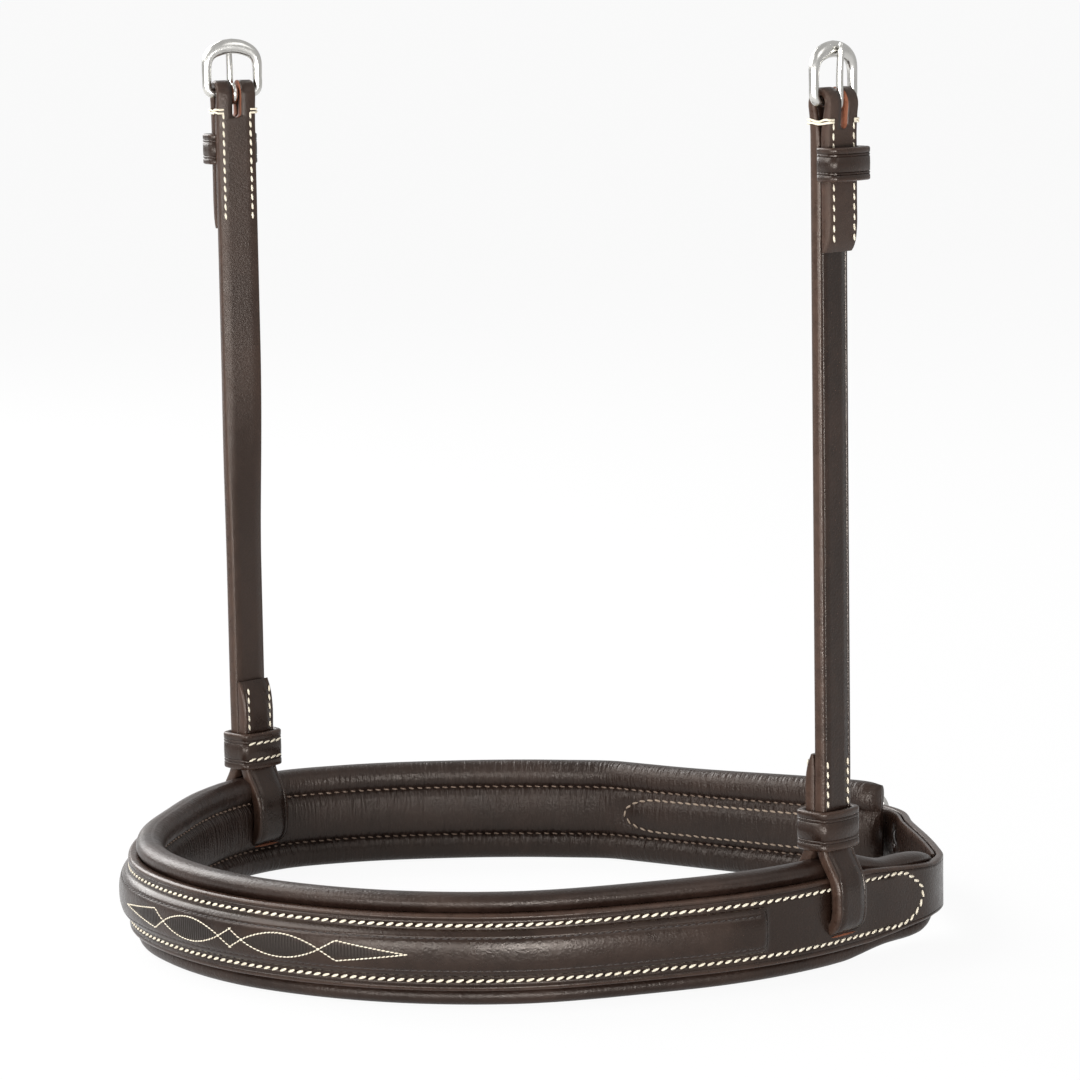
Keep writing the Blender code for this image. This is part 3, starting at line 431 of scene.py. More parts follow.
def strap_half_ring(run):
    """Upper half of the strap's section at a run, as (n, w, pale) points; pale is wear and painted highlight.
    """
    skived = min(1.0, max(0.0, (run - (PAD_RUN - BILLET_SKIVE_RUN)) / BILLET_SKIVE_RUN))
    inner = STRAP_BACK + BILLET_SKIVE * skived
    scale = strap_half_width(run) / STRAP_HALF_WIDTH
    squeeze = (STRAP_FACE - inner) / (STRAP_FACE - STRAP_BACK)
    groove = 1 - between(GROOVE_END, GROOVE_END + 4, run)
    beat = 0.5 + 0.5 * cos(tau * run / STITCH_PITCH)
    end_round = 1 - 0.35 * max(0.0, 1 - (run - STRAP_START) / 0.8)
    points = []
    for n, w, edge in STRAP_HALF_SECTION:
        if abs(w - STITCH_ROW) < 0.6:
            n = STRAP_FACE - (STRAP_FACE - n) * groove
            n -= NEEDLE_DIP * beat * groove * max(0.0, 1 - abs(w - STITCH_ROW) / 0.45)
        n = inner + (n - STRAP_BACK) * squeeze * end_round
        points.append((n, w * scale, edge))
    for share in CROWN_SHARES:
        rise = RAISED_RISE * raised(run) * crown(share)
        if share == TONAL_SHARE:
            rise -= TONAL_DIP * raised(run)
        n = inner + (STRAP_FACE + rise - STRAP_BACK) * squeeze * end_round
        points.append((n, RAISED_HALF_WIDTH * share * scale, 0.0))
    return points


def both_halves(points):
    """The closed section that an upper half of (n, w, pale) points and its mirror make."""
    return [*points, *[(n, -w, edge) for n, w, edge in points[-2:0:-1]]]


MOTIF_RUN = 393.6
MOTIF_NODES = (4.2, 29.2, 34.2, 54.2)
DIAMOND_HALF_HEIGHT = 2.6
OVAL_HALF_HEIGHT = 3.4
KITE_HALF_HEIGHT = 2.9


def motif_half_height(distance):
    """Half the height of the stitched pattern at a distance from its middle."""
    diamond, oval, kite, tip = MOTIF_NODES
    if distance < diamond:
        return DIAMOND_HALF_HEIGHT * (1 - distance / diamond)
    if distance < oval:
        return OVAL_HALF_HEIGHT * sin(pi * (distance - diamond) / (oval - diamond)) ** 0.85
    if distance < kite:
        return KITE_HALF_HEIGHT * (distance - oval) / (kite - oval)
    return KITE_HALF_HEIGHT * max(0.0, (tip - distance) / (tip - kite))


strap_runs = [STRAP_START, 2.2, 2.5]
strap_runs += [k * STITCH_PITCH / 3 for k in range(3, int(PAD_RUN * 3 / STITCH_PITCH))]
strap_runs += [PAD_RUN + (band.length - PAD_RUN) * k / BILLET_STEPS for k in range(BILLET_STEPS + 1)]
strap_rings = []
edges = []
shades = []
for run in strap_runs:
    around = both_halves(strap_half_ring(run))
    strap_rings.append([band.place(run, n, w) for n, w, _ in around])
    edges += [edge for _, _, edge in around]
    # The shade trait marks the inside of the stitched shapes, where painted shade darkens the face.
    pattern = motif_half_height(abs(run - MOTIF_RUN))
    shades += [between(0.1, -0.5, abs(w) - pattern) if pattern > 0.3 and n > STRAP_FACE else 0.0
               for n, w, _ in around]
nose_strap = skin("ring_nose_strap", strap_rings, strap_runs, {"edge": edges, "shade": shades})


def turns(count):
    """Angles evenly spaced round a circle."""
    return [tau * k / count for k in range(count)]


def rod(name, start, end, radius, sides=20):
    """A plain round cutter between two points."""
    along = (end - start).normalized()
    side = along.orthogonal()
    ring = [Matrix.Rotation(a, 3, along) @ side * radius for a in turns(sides)]
    return skin(name, [[p + r for r in ring] for p in (start, end)], [0.0, (end - start).length])


def settle(piece):
    """Give a piece the plain mesh that its modifiers make."""
    bpy.context.view_layer.update()
    evaluated = piece.evaluated_get(bpy.context.evaluated_depsgraph_get())
    mesh = bpy.data.meshes.new_from_object(evaluated)
    piece.modifiers.clear()
    piece.data = mesh


def cut(piece, cutters, solver="MANIFOLD"):
    """Cut a closed piece by closed cutters, and leave it a plain mesh."""
    for cutter in cutters:
        change = piece.modifiers.new("cut", "BOOLEAN")
        change.operation = "DIFFERENCE"
        change.solver = solver
        change.object = cutter
        if cutter.data.materials:
            change.material_mode = "TRANSFER"
    settle(piece)
    for cutter in cutters:
        bpy.data.objects.remove(cutter)


HOLE_RADIUS = 1.8
HOLE_PITCH = 16.0
HOLE_STEPS = (-2, -1, 1, 2, 3)
TONGUE_HOLE_RADIUS = 1.5
TONGUE_HOLE_ANGLES = (0, 5, 10)
JAW_BAR = (-17.5, 7.8)
JAW_REACH = Vector((14.0, 5.4))

jaw_ahead = JAW_REACH.normalized()
jaw_seat = at_jaw @ Matrix(((-jaw_ahead.y, 0, jaw_ahead.x, JAW_BAR[0]),
                            (jaw_ahead.x, 0, jaw_ahead.y, JAW_BAR[1]), (0, 1, 0, 0), (0, 0, 0, 1)))
tongue_hole_run = band.nearest_run((at_jaw @ Vector((JAW_BAR[0] / 2, STRAP_FACE, 0))).to_2d())


def billet_cutters():
    cutters = []
    for step in HOLE_STEPS:
        run = tongue_hole_run - step * HOLE_PITCH
        ends = [band.place(run, n, 0.0) for n in (-4.0, 8.0)]
        cutters.append(rod("spare_hole", *ends, HOLE_RADIUS))
    for angle in TONGUE_HOLE_ANGLES:
        turn = Matrix.Rotation(radians(angle), 4, "Y")
        ends = [jaw_seat @ turn @ Vector(p) for p in ((2.6, 0, 0.5), (3.6, 0, 18.0))]
        cutters.append(rod("tongue_hole", *ends, TONGUE_HOLE_RADIUS))
    return cutters


cut(nose_strap, billet_cutters())
bridle_leather = leather("bridle_leather", dark=(0.0100, 0.0048, 0.0032), light=(0.024, 0.0125, 0.0085),
                         roughness=0.29, grain=0.36)
dress(nose_strap, bridle_leather)
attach(nose_strap, "noseband")
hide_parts("nose_strap", "raised_core")


# Second layer of the billet
# A thinner strip of the same leather under the strap's own end, so that the billet is as thick as the
# strap where it passes through the jaw buckle. It is glued on and punched with it.

SECOND_HALF_SECTION = (
    (-0.15, 0.0, 0.0), (-0.15, 5.5, 0.0), (-0.1, 7.3, 0.4), (0.2, 7.85, 1.0), (0.95, 7.85, 1.0),
    (1.25, 7.5, 0.4), (1.28, 0.0, 0.0),
)
SECOND_INSET = 0.4
SECOND_STEPS = 100
second_runs = [PAD_RUN + SECOND_INSET + (band.length - PAD_RUN - SECOND_INSET) * k / SECOND_STEPS
               for k in range(SECOND_STEPS + 1)]
second_around = both_halves(SECOND_HALF_SECTION)
second_rings = []
for run in second_runs:
    scale = strap_half_width(run) / BILLET_HALF_WIDTH
    second_rings.append([band.place(run, n, w * scale) for n, w, _ in second_around])
second_layer = skin("billet_second_layer", second_rings, second_runs,
                    {"edge": [edge for _, _, edge in second_around] * len(second_runs)})
cut(second_layer, billet_cutters())
dress(second_layer, bridle_leather)
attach(second_layer, "noseband")
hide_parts("billet_lining")


# Hanger straps
# One strip of strap leather each: doubled and sewn, opened below into a loop through a slot in the
# ring, and folded at the top round the buckle's bar with its flesh side out.

def mirrored(half):
    """A row of (across, through, pale) points and its mirror image, which share the last one."""
    return [*half, *[(-across, through, edge) for across, through, edge in half[-2::-1]]]


HANGER_HALF_WIDTH = 6.35
GRAIN_HALF = (
    (-1.0, 0.0, 1.0), (-1.0, 0.45, 1.0), (-0.965, 0.80, 0.9), (-0.90, 0.98, 0.5), (-0.80, 1.0, 0.1),
    (-0.765, 0.86, 0.0), (-0.73, 1.0, 0.0), (-0.4, 1.0, 0.0), (0.0, 1.0, 0.0),
)
FLESH_HALF = (
    (1.0, -0.45, 1.0), (0.965, -0.80, 0.9), (0.90, -0.98, 0.4), (0.45, -1.0, 0.0), (0.0, -1.0, 0.0),
)
hanger_section = [*mirrored(GRAIN_HALF), *mirrored(FLESH_HALF)]
LOOP_THICKNESS = 3.6
LOOP_HALF = (
    (-2.1, 36.4), (-3.2, 33.0), (-5.2, 29.6), (-6.95, 26.6), (-7.7, 23.4), (-7.8, 20.0), (-7.75, 16.8),
    (-6.9, 13.8), (-5.0, 12.2), (-2.5, 11.9),
)
HANGER_ROUTE = (
    (-0.7, 63.0, 0.9), (-1.0, 61.6, 1.7), (-1.5, 58.6, 3.0), (-1.85, 54.5, 3.6), (-1.85, 47.0, 3.6),
    (-1.85, 40.0, 3.6), *[(n, z, LOOP_THICKNESS) for n, z in LOOP_HALF],
    *[(-n, z, LOOP_THICKNESS) for n, z in LOOP_HALF[::-1]],
    (1.9, 40.0, 3.7), (1.9, 60.0, 3.7), (1.9, 100.0, 3.7), (1.9, 135.0, 3.7),
    (1.9, 170.0, 3.7), (1.9, 205.0, 3.7), (1.9, 236.0, 3.7), (1.75, 242.0, 3.4), (1.2, 246.6, 2.8),
    (0.82, 249.9, 2.5), (1.25, 251.4, 2.4), (2.35, 252.5, 2.4), (3.8, 252.85, 2.4), (5.25, 252.5, 2.4),
    (6.35, 251.4, 2.4), (6.8, 249.9, 2.5), (6.4, 246.6, 2.8), (5.85, 242.0, 3.4), (5.75, 236.0, 3.6),
    (5.75, 222.0, 3.6), (5.7, 214.0, 3.5), (5.45, 210.6, 2.9), (5.05, 208.6, 1.9), (4.7, 207.6, 1.0),
)
FOLD_MIDDLE = 3.8
FOLD_SIDE_START = 200.0
DOUBLED_FLESH = 0.35
TWIST_RANGE = (100.0, 170.0)
LEFT_TWIST = radians(-24)
LEFT_RUN = 218.2
HANGER_INSET = -1.7
SLOT_HALF_WIDTH = 1.45
SLOT_BOTTOM = 243.75
SLOT_TOP = 258.0
SLOT_REACH = (-5.0, 12.5)


def facings(line, closed):
    """The direction to the right of travel at each point of a route."""
    last = len(line) - 1
    directions = []
    for i in range(len(line)):
        before = line[i - 1] if i or closed else line[0]
        after = line[(i + 1) % len(line)] if i < last or closed else line[last]
        along = Vector((after.x - before.x, after.y - before.y)).normalized()
        directions.append(Vector((along.y, -along.x)))
    return directions


def travelled(line):
    """The distance travelled at each point of a route, and back at its first one."""
    runs = [0.0]
    for p, after in zip(line, line[1:] + line[:1]):
        runs.append(runs[-1] + Vector((after.x - p.x, after.y - p.y)).length)
    return runs


def ribbon(name, route, section, half_width, axes, closed=False, step=1.0, bend=None, flesh=None):
    """A strip of leather along a route of (first, second, thickness) points, in the axes given.

    Each section point is (across, through, pale) in shares of half the width and half the thickness,
    and pale is edge wear with a painted highlight; through is positive on the grain side, right of travel.
    """
    line = smooth_line([Vector(p) for p in route], step, least=1)
    if closed:
        line = line[:-1]
    rings = []
    edge_paleness = []
    rough = []
    for p, out in zip(line, facings(line, closed)):
        ring = []
        for across, through, edge in section:
            spot = Vector((p.x + out.x * through * p.z / 2, across * half_width,
                           p.y + out.y * through * p.z / 2))
            if bend:
                spot = bend(spot)
            ring.append(axes @ spot)
            edge_paleness.append(edge)
            rough.append(flesh(p) if flesh and through < 0 else 0.0)
        rings.append(ring)
    return skin(name, rings, travelled(line), {"edge": edge_paleness, "flesh": rough}, loop=closed)


def hanger_axes(run, turn):
    """Axes of a hanger: outward, across and up, from the middle of the band's thickness."""
    foot = band.at(run).to_3d() + band.out(run) * HANGER_INSET
    return Matrix.Translation(foot) @ Matrix.Rotation(turn, 4, "Z")


def left_bend(spot):
    share = between(*TWIST_RANGE, spot.z)
    return Matrix.Rotation(LEFT_TWIST * share, 3, "Z") @ spot


def hanger_flesh(p):
    """How rough the flesh side is: full where it is folded out at the top."""
    return 1.0 if p.x > FOLD_MIDDLE and p.y > FOLD_SIDE_START else DOUBLED_FLESH


def slot_cutter(name, axes):
    """A rounded slot through the fold for the buckle's tongue."""
    outline = [(SLOT_HALF_WIDTH * cos(a), SLOT_HALF_WIDTH * sin(a) + SLOT_BOTTOM)
               for a in (pi + pi * i / 8 for i in range(9))]
    outline += [(SLOT_HALF_WIDTH, SLOT_TOP), (-SLOT_HALF_WIDTH, SLOT_TOP)]
    rings = [[axes @ Vector((n, y, z)) for y, z in outline] for n in SLOT_REACH]
    return skin(name, rings, [0.0, SLOT_REACH[1] - SLOT_REACH[0]])


raw_edge = leather("raw_edge", dark=(0.16, 0.052, 0.026), light=(0.30, 0.105, 0.050), roughness=0.72,
                   grain=0.8)
hanger_places = {
    "right": (hanger_axes(RIGHT_RUN, 0.0), None),
    "left": (hanger_axes(LEFT_RUN, pi), left_bend),
}
hanger_tops = {}
for side, (axes, bend) in hanger_places.items():
    hanger_tops[side] = axes @ Matrix.Rotation(LEFT_TWIST if bend else 0.0, 4, "Z")
    hanger = ribbon(side + "_hanger_leather", HANGER_ROUTE, hanger_section, HANGER_HALF_WIDTH, axes,
                    step=1.4, bend=bend, flesh=hanger_flesh)
    dress(hanger, bridle_leather)
    cutter = slot_cutter("fold_slot", hanger_tops[side])
    dress(cutter, raw_edge)
    cut(hanger, [cutter], "EXACT")
    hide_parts(side + "_hanger_loop", side + "_hanger_strap")
    side + "_hanger"
    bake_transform(hanger)


# Lips of the slots for the hangers
# Each loop passes into the strap and the padding at a slit, which is not cut here; only the slit's lower
# lip is made, inside and outside, to show the tan core of the leather as a thin pale line under the loop.

LIP_HALF_WIDTH = 5.2
LIP_DEPTH = 0.45
LIP_STEPS = 14
LIP_PLACES = ((-5.35, 10.0, 0.42), (5.55, 9.85, 0.36))
for side, (axes, _) in hanger_places.items():
    for label, (n, z, thick) in zip(("inner", "outer"), LIP_PLACES):
        rings = []
        for i in range(LIP_STEPS + 1):
            across = LIP_HALF_WIDTH * (2 * i / LIP_STEPS - 1)
            swell = sqrt(max(0.02, 1 - (across / LIP_HALF_WIDTH) ** 2))
            rings.append([axes @ Vector((n + LIP_DEPTH * swell * sin(a), across, z + thick * swell * cos(a)))
                          for a in turns(8)])
        lip = skin(side + "_slot_lip_" + label, rings, [i * 0.8 for i in range(LIP_STEPS + 1)])
        dress(lip, raw_edge)
        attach(lip, "noseband")


# Keepers on the hangers
# Loops of thin strap leather with two pairs of crease lines. The upper one is sewn in between the
# layers under the buckle, and the lower one slides on the doubled strap.

KEEPER_THICKNESS = 1.8
KEEPER_HALF_LOOP = 7.55
KEEPER_BEND = 1.7
KEEPER_HALF_SECTION = (
    (-1.0, 0.0, 1.0), (-1.0, 0.5, 1.0), (-0.95, 0.95, 0.8), (-0.88, 1.06, 0.3), (-0.66, 1.0, 0.0),
    (-0.62, 0.74, 0.0), (-0.58, 1.0, 0.0), (-0.50, 1.0, 0.0), (-0.46, 0.74, 0.0), (-0.42, 1.0, 0.0),
    (0.0, 1.06, 0.0),
)
KEEPER_HALF_BACK = ((1.0, -0.5, 1.0), (0.94, -0.96, 0.6), (0.0, -1.0, 0.0))
keeper_section = [*mirrored(KEEPER_HALF_SECTION), *mirrored(KEEPER_HALF_BACK)]


def ring_route(low, high, inner_thickness):
    """A closed route of (outward, across, thickness) round a keeper's rounded rectangle."""
    route = []
    for x, y, start in ((low, KEEPER_HALF_LOOP, 90), (low, -KEEPER_HALF_LOOP, 180),
                        (high, -KEEPER_HALF_LOOP, 270), (high, KEEPER_HALF_LOOP, 0)):
        centre = (x + copysign(KEEPER_BEND, high + low - 2 * x), y - copysign(KEEPER_BEND, y))
        thick = inner_thickness if x == low else KEEPER_THICKNESS
        for a in (radians(start + 30 * k) for k in range(4)):
            route.append((centre[0] + KEEPER_BEND * cos(a), centre[1] + KEEPER_BEND * sin(a),
                          thick))
    return [*route, route[0]]


FLAT = Matrix(((1, 0, 0, 0), (0, 0, 1, 0), (0, 1, 0, 0), (0, 0, 0, 1)))
KEEPERS = {
    "sliding": (ring_route(-5.0, 5.0, KEEPER_THICKNESS), 40.95, 5.75),
    "fixed": (ring_route(3.8, 10.6, 1.2), 232.45, 4.75),
}
for side in ("right", "left"):
    for kind, (route, middle, half_height) in KEEPERS.items():
        axes = hanger_tops[side] if kind == "fixed" else hanger_places[side][0]
        keeper = ribbon(side + "_" + kind + "_keeper_leather", route, keeper_section, half_height,
                        axes @ Matrix.Translation((0, 0, middle)) @ FLAT, closed=True, step=0.8)
        dress(keeper, bridle_leather)
        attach(keeper, side + ("_hanger" if kind == "fixed" else "_keeper"))
        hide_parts(side + "_" + kind + "_keeper")


# Buckles
# Cast stainless steel, tumbled to a satin gloss: a round wire frame that swells into a flat arched
# front bar, and a tongue curled round the heel bar that rests on the front bar.

TOP_BAR_HEIGHT = 249.8
FRAME_REACH = 14.85
FRAME_HALF = (
    (0.0, 0.0, 1.30, 1.30), (3.4, 0.0, 1.30, 1.30), (5.9, 0.02, 1.38, 1.38), (7.3, 0.4, 1.45, 1.42),
    (8.1, 1.3, 1.45, 1.42), (8.35, 2.6, 1.45, 1.42), (8.35, 5.0, 1.45, 1.42), (8.35, 7.8, 1.50, 1.45),
    (8.2, 9.8, 1.62, 1.52), (7.6, 11.5, 1.80, 1.62), (6.4, 12.9, 2.02, 1.72), (4.8, 13.8, 2.20, 1.80),
    (2.6, 14.55, 2.32, 1.86), (0.0, 14.85, 2.36, 1.88),
)
CURL_TURN = radians(255)
TONGUE_TAPER = (
    (0.25, 1.0), (0.55, 0.98), (0.8, 0.95), (0.96, 0.93), (1.04, 0.86), (1.09, 0.70), (1.12, 0.42),
)


def buckle_frame(name, axes, wider, longer, arch, thin):
    """A closed frame in the plane of its second and third axes, from a table for half of it."""
    table = [Vector((y + wider * min(1.0, y / 6),
                     z - arch * between(9.0, FRAME_REACH, z) + longer * between(2.0, 9.0, z),
                     a * thin, b * thin)) for y, z, a, b in FRAME_HALF]
    half_line = smooth_line(table, 0.7)
    line = half_line + [Vector((-p.x, p.y, p.z, p.w)) for p in half_line[-2:0:-1]]
    rings = [[axes @ Vector((p.w * sin(a), p.x + out.x * p.z * cos(a),
                             p.y + out.y * p.z * cos(a))) for a in turns(16)]
             for p, out in zip(line, facings(line, closed=True))]
    return skin(name, rings, travelled(line), loop=True)


def buckle_tongue(name, axes, wire, radius, landing):
    """A tapered wire, curled round the heel bar at the origin and lying on the front bar."""
    curl = wire + 0.15 + radius
    start = atan2(landing.y, landing.x) - acos(curl / landing.length)
    route = [Vector((curl * cos(a), curl * sin(a), radius))
             for a in (start - CURL_TURN + CURL_TURN * k / 18 for k in range(19))]
    leave = route[-1].to_2d()
    for share, thick in TONGUE_TAPER:
        p = leave + (landing - leave) * share
        route.append(Vector((p.x - 0.35 * sin(pi * min(1.0, share)), p.y, radius * thick)))
    line = smooth_line(route, 0.6, least=1)
    rings = [[axes @ Vector((p.x + out.x * p.z * cos(a), p.z * sin(a),
                             p.y + out.y * p.z * cos(a))) for a in turns(12)]
             for p, out in zip(line, facings(line, closed=False))]
    return skin(name, rings, [0.6 * i for i in range(len(rings))])


satin_steel, steel_shader, steel = new_finish("satin_steel")
steel_place = steel.node("TexCoord", output=3)
steel_clouds = steel.noise(steel_place, scale=260.0, detail=4.0)
steel_grain = steel.noise(steel_place, scale=2400.0, detail=3.0)
steel_colour = steel.mix(steel_clouds, (0.50, 0.49, 0.465, 1.0), (0.68, 0.67, 0.64, 1.0))
steel_colour.feed(steel_shader.inputs["Base Color"])
(steel_clouds * 0.22 + steel_grain * 0.10 + 0.08).feed(steel_shader.inputs["Roughness"])
(steel_grain + steel_clouds * 2.0).emboss(steel_shader, strength=0.16, distance=0.00006)
steel_shader.inputs["Metallic"].default_value = 1.0

buckles = {}
for side in ("right", "left"):
    bar = hanger_tops[side] @ Matrix.Translation((FOLD_MIDDLE, 0, TOP_BAR_HEIGHT))
    buckles[side + "_frame", side + "_buckle_frame"] = buckle_frame(
        side + "_buckle_steel", bar, wider=0.0, longer=0.0, arch=0.0, thin=1.0)
    buckles[side + "_tongue", side + "_buckle_tongue"] = buckle_tongue(
        side + "_tongue_steel", bar, wire=1.3, radius=1.05, landing=Vector((2.96, FRAME_REACH)))
buckles["jaw_frame", "closure_buckle_frame"] = buckle_frame(
    "jaw_buckle_steel", jaw_seat, wider=1.55, longer=1.9, arch=1.9, thin=0.92)
buckles["jaw_tongue", "closure_buckle_tongue"] = buckle_tongue(
    "jaw_tongue_steel", jaw_seat, wire=1.25, radius=0.98, landing=Vector((2.75, FRAME_REACH)))
for (body, node), piece in buckles.items():
    dress(piece, satin_steel)
    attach(piece, body)
    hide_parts(node)


# Chape and keepers at the jaw
# A strip sewn to the outside of the jaw end and folded round the bar of the jaw buckle, with two fixed
# keepers sewn down beside it to hold the point of the billet.

CHAPE_HALF_WIDTH = 8.0
CHAPE_ROUTE = (
    (-88.0, 4.45, 0.7), (-86.0, 4.75, 1.4), (-83.0, 5.1, 2.0), (-60.0, 5.1, 2.0), (-30.0, 5.1, 2.0),
    (-20.0, 5.1, 2.0), (-17.5, 5.15, 1.9), (-15.7, 5.9, 1.8), (-14.85, 7.8, 1.8), (-15.7, 9.6, 1.8),
    (-17.5, 10.4, 1.8), (-19.6, 9.6, 1.9), (-22.0, 7.7, 2.0), (-25.0, 7.1, 2.0), (-28.6, 7.05, 1.8),
    (-30.6, 6.75, 1.1), (-31.4, 6.45, 0.6),
)
CHAPE_SLOT = ((-23.5, -1.4), (-12.0, -1.4), (-12.0, 1.4), (-23.5, 1.4))
CHAPE_SLOT_REACH = (2.0, 13.0)
chape = ribbon("jaw_chape", CHAPE_ROUTE, hanger_section, CHAPE_HALF_WIDTH, at_jaw @ FLAT, step=1.2)
dress(chape, bridle_leather)
slot_rings = [[at_jaw @ Vector((x, n, z)) for x, z in CHAPE_SLOT] for n in CHAPE_SLOT_REACH]
cut(chape, [skin("chape_slot", slot_rings, [0.0, CHAPE_SLOT_REACH[1] - CHAPE_SLOT_REACH[0]])], "EXACT")
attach(chape, "noseband")
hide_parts("buckle_chape")

JAW_KEEPER_HALF_WIDTH = 5.0
ARCH_HALF = ((9.2, 4.15), (9.2, 7.0), (9.2, 9.8), (8.7, 11.1), (7.4, 11.6), (0.0, 11.65))
arch_route = mirrored([(a, n, KEEPER_THICKNESS) for a, n in ARCH_HALF])
OVER_BILLET = Matrix(((0, 1, 0, 0), (0, 0, 1, 0), (-1, 0, 0, 0), (0, 0, 0, 1)))
for label, inset in (("near", 42.0), ("far", 66.0)):
    across = at_jaw @ Matrix.Translation((-inset - JAW_KEEPER_HALF_WIDTH, 0, 0)) @ OVER_BILLET
    keeper = ribbon("jaw_keeper_" + label, arch_route, keeper_section, JAW_KEEPER_HALF_WIDTH, across,
                    step=0.9)
    dress(keeper, bridle_leather)
    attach(keeper, "noseband")
    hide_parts("closure_keeper_" + label)


# Stitches
# Waxed thread, sewn at nine to the inch and hammered flat: cream through the strap, brown where it comes
# out inside, tan where the chape's comes out there, and a thinner dark row that holds the filler.

STITCH_SIZES = ("Pitch", "Length", "Thickness", "Rise", "Tilt")
stitching = bpy.data.node_groups.new("stitching", "GeometryNodeTree")
stitching.interface.new_socket("Geometry", in_out="INPUT", socket_type="NodeSocketGeometry")
for size in STITCH_SIZES:
    stitching.interface.new_socket(size, in_out="INPUT", socket_type="NodeSocketFloat")
stitching.interface.new_socket("Thread", in_out="INPUT", socket_type="NodeSocketMaterial")
stitching.interface.new_socket("Geometry", in_out="OUTPUT", socket_type="NodeSocketGeometry")


def stitch_node(kind, settings=None, inputs=None):
    return add_node(stitching, kind, settings, inputs)


given = stitch_node("NodeGroupInput").outputs
lines = stitch_node("GeometryNodeMeshToCurve", inputs={"Mesh": given["Geometry"]})
spaced = stitch_node("GeometryNodeResampleCurve", {"mode": "LENGTH"},
                     {"Curve": lines.outputs[0], "Length": given["Pitch"]})
grain = stitch_node("GeometryNodeMeshUVSphere", inputs={"Segments": 6, "Rings": 5, "Radius": 1.0})
tangent = stitch_node("GeometryNodeInputTangent")
outward = stitch_node("GeometryNodeInputNamedAttribute", {"data_type": "FLOAT_VECTOR"}, {"Name": "out"})
jitter = stitch_node("FunctionNodeRandomValue", {"data_type": "FLOAT"}, {2: -0.07, 3: 0.07, "Seed": 11})
swing = stitch_node("ShaderNodeMath", {"operation": "ADD"}, {0: given["Tilt"], 1: jitter.outputs[1]})
slanted = stitch_node("ShaderNodeVectorRotate", {"rotation_type": "AXIS_ANGLE"},
                      {"Vector": tangent.outputs[0], "Axis": outward.outputs[0], "Angle": swing.outputs[0]})
turned = stitch_node("FunctionNodeAxesToRotation", {"primary_axis": "Z", "secondary_axis": "Y"},
                     {0: slanted.outputs[0], 1: outward.outputs[0]})
halves = [stitch_node("ShaderNodeMath", {"operation": "MULTIPLY"}, {0: given[size], 1: 0.5}).outputs[0]
          for size in ("Thickness", "Rise", "Length")]
proportions = stitch_node("ShaderNodeCombineXYZ", inputs={0: halves[0], 1: halves[1], 2: halves[2]})
laid = stitch_node("GeometryNodeInstanceOnPoints", inputs={
    "Points": spaced.outputs[0], "Instance": grain.outputs[0], "Rotation": turned.outputs[0],
    "Scale": proportions.outputs[0]})
real = stitch_node("GeometryNodeRealizeInstances", inputs={0: laid.outputs[0]})
smooth = stitch_node("GeometryNodeSetShadeSmooth", inputs={0: real.outputs[0]})
coloured = stitch_node("GeometryNodeSetMaterial", inputs={0: smooth.outputs[0], "Material": given["Thread"]})
stitch_node("NodeGroupOutput", inputs={0: coloured.outputs[0]})


def thread(name, dark, light):
    """Waxed linen thread with fine uneven fibres."""
    made, shader, fibre = new_finish(name)
    place = fibre.node("TexCoord", output=3)
    strands = fibre.noise(place, scale=2600.0, detail=3.0)
    soil = fibre.noise(place, scale=420.0, detail=2.0)
    fibre.mix(strands * 0.7 + soil * 0.7 - 0.2, (*dark, 1.0), (*light, 1.0)).feed(shader.inputs["Base Color"])
    (strands * 0.3 + 0.4).feed(shader.inputs["Roughness"])
    strands.emboss(shader, strength=0.6, distance=0.00012)
    return made


def sew(name, rows, sizes, material):
    """Stitches along rows of (point, out) pairs, as one plain mesh. The sizes follow STITCH_SIZES."""
    points = []
    outs = []
    links = []
    for row in rows:
        links += [(len(points) + i, len(points) + i + 1) for i in range(len(row) - 1)]
        points += [p * MM for p, _ in row]
        outs += [c for _, out in row for c in out]
    mesh = bpy.data.meshes.new(name)
    mesh.from_pydata(points, links, [])
    mesh.attributes.new("out", "FLOAT_VECTOR", "POINT").data.foreach_set("vector", outs)
    piece = placed(name, mesh)
    change = piece.modifiers.new("stitching", "NODES")
    change.node_group = stitching
    wanted = dict(zip(STITCH_SIZES, [size * MM for size in sizes[:-1]] + [radians(sizes[-1])]))
    for item in stitching.interface.items_tree:
        if item.in_out == "INPUT" and item.name in wanted:
            change[item.identifier] = wanted[item.name]
        if item.name == "Thread":
            change[item.identifier] = material
    settle(piece)
    piece.data.name = name
    return piece


def on_strap(run, w, lift=0.0):
    """A place on the nose strap's face and the direction straight out of it."""
    slope = (strap_rise(run, w + 0.1) - strap_rise(run, w - 0.1)) / 0.2
    facing = (band.out(run) - Vector((0, 0, slope))).normalized()
    return band.place(run, STRAP_FACE + strap_rise(run, w), w) + facing * lift, facing


cream_thread = thread("cream_thread", (0.50, 0.42, 0.30), (0.86, 0.80, 0.66))
tan_thread = thread("tan_thread", (0.20, 0.14, 0.10), (0.46, 0.36, 0.27))
brown_thread = thread("brown_thread", (0.11, 0.07, 0.05), (0.32, 0.23, 0.17))
# The dark thread also colours the painted shade in the needle holes.
dark_thread_and_hole_shade = thread("dark_thread_and_hole_shade", (0.012, 0.008, 0.007), (0.035, 0.024, 0.020))

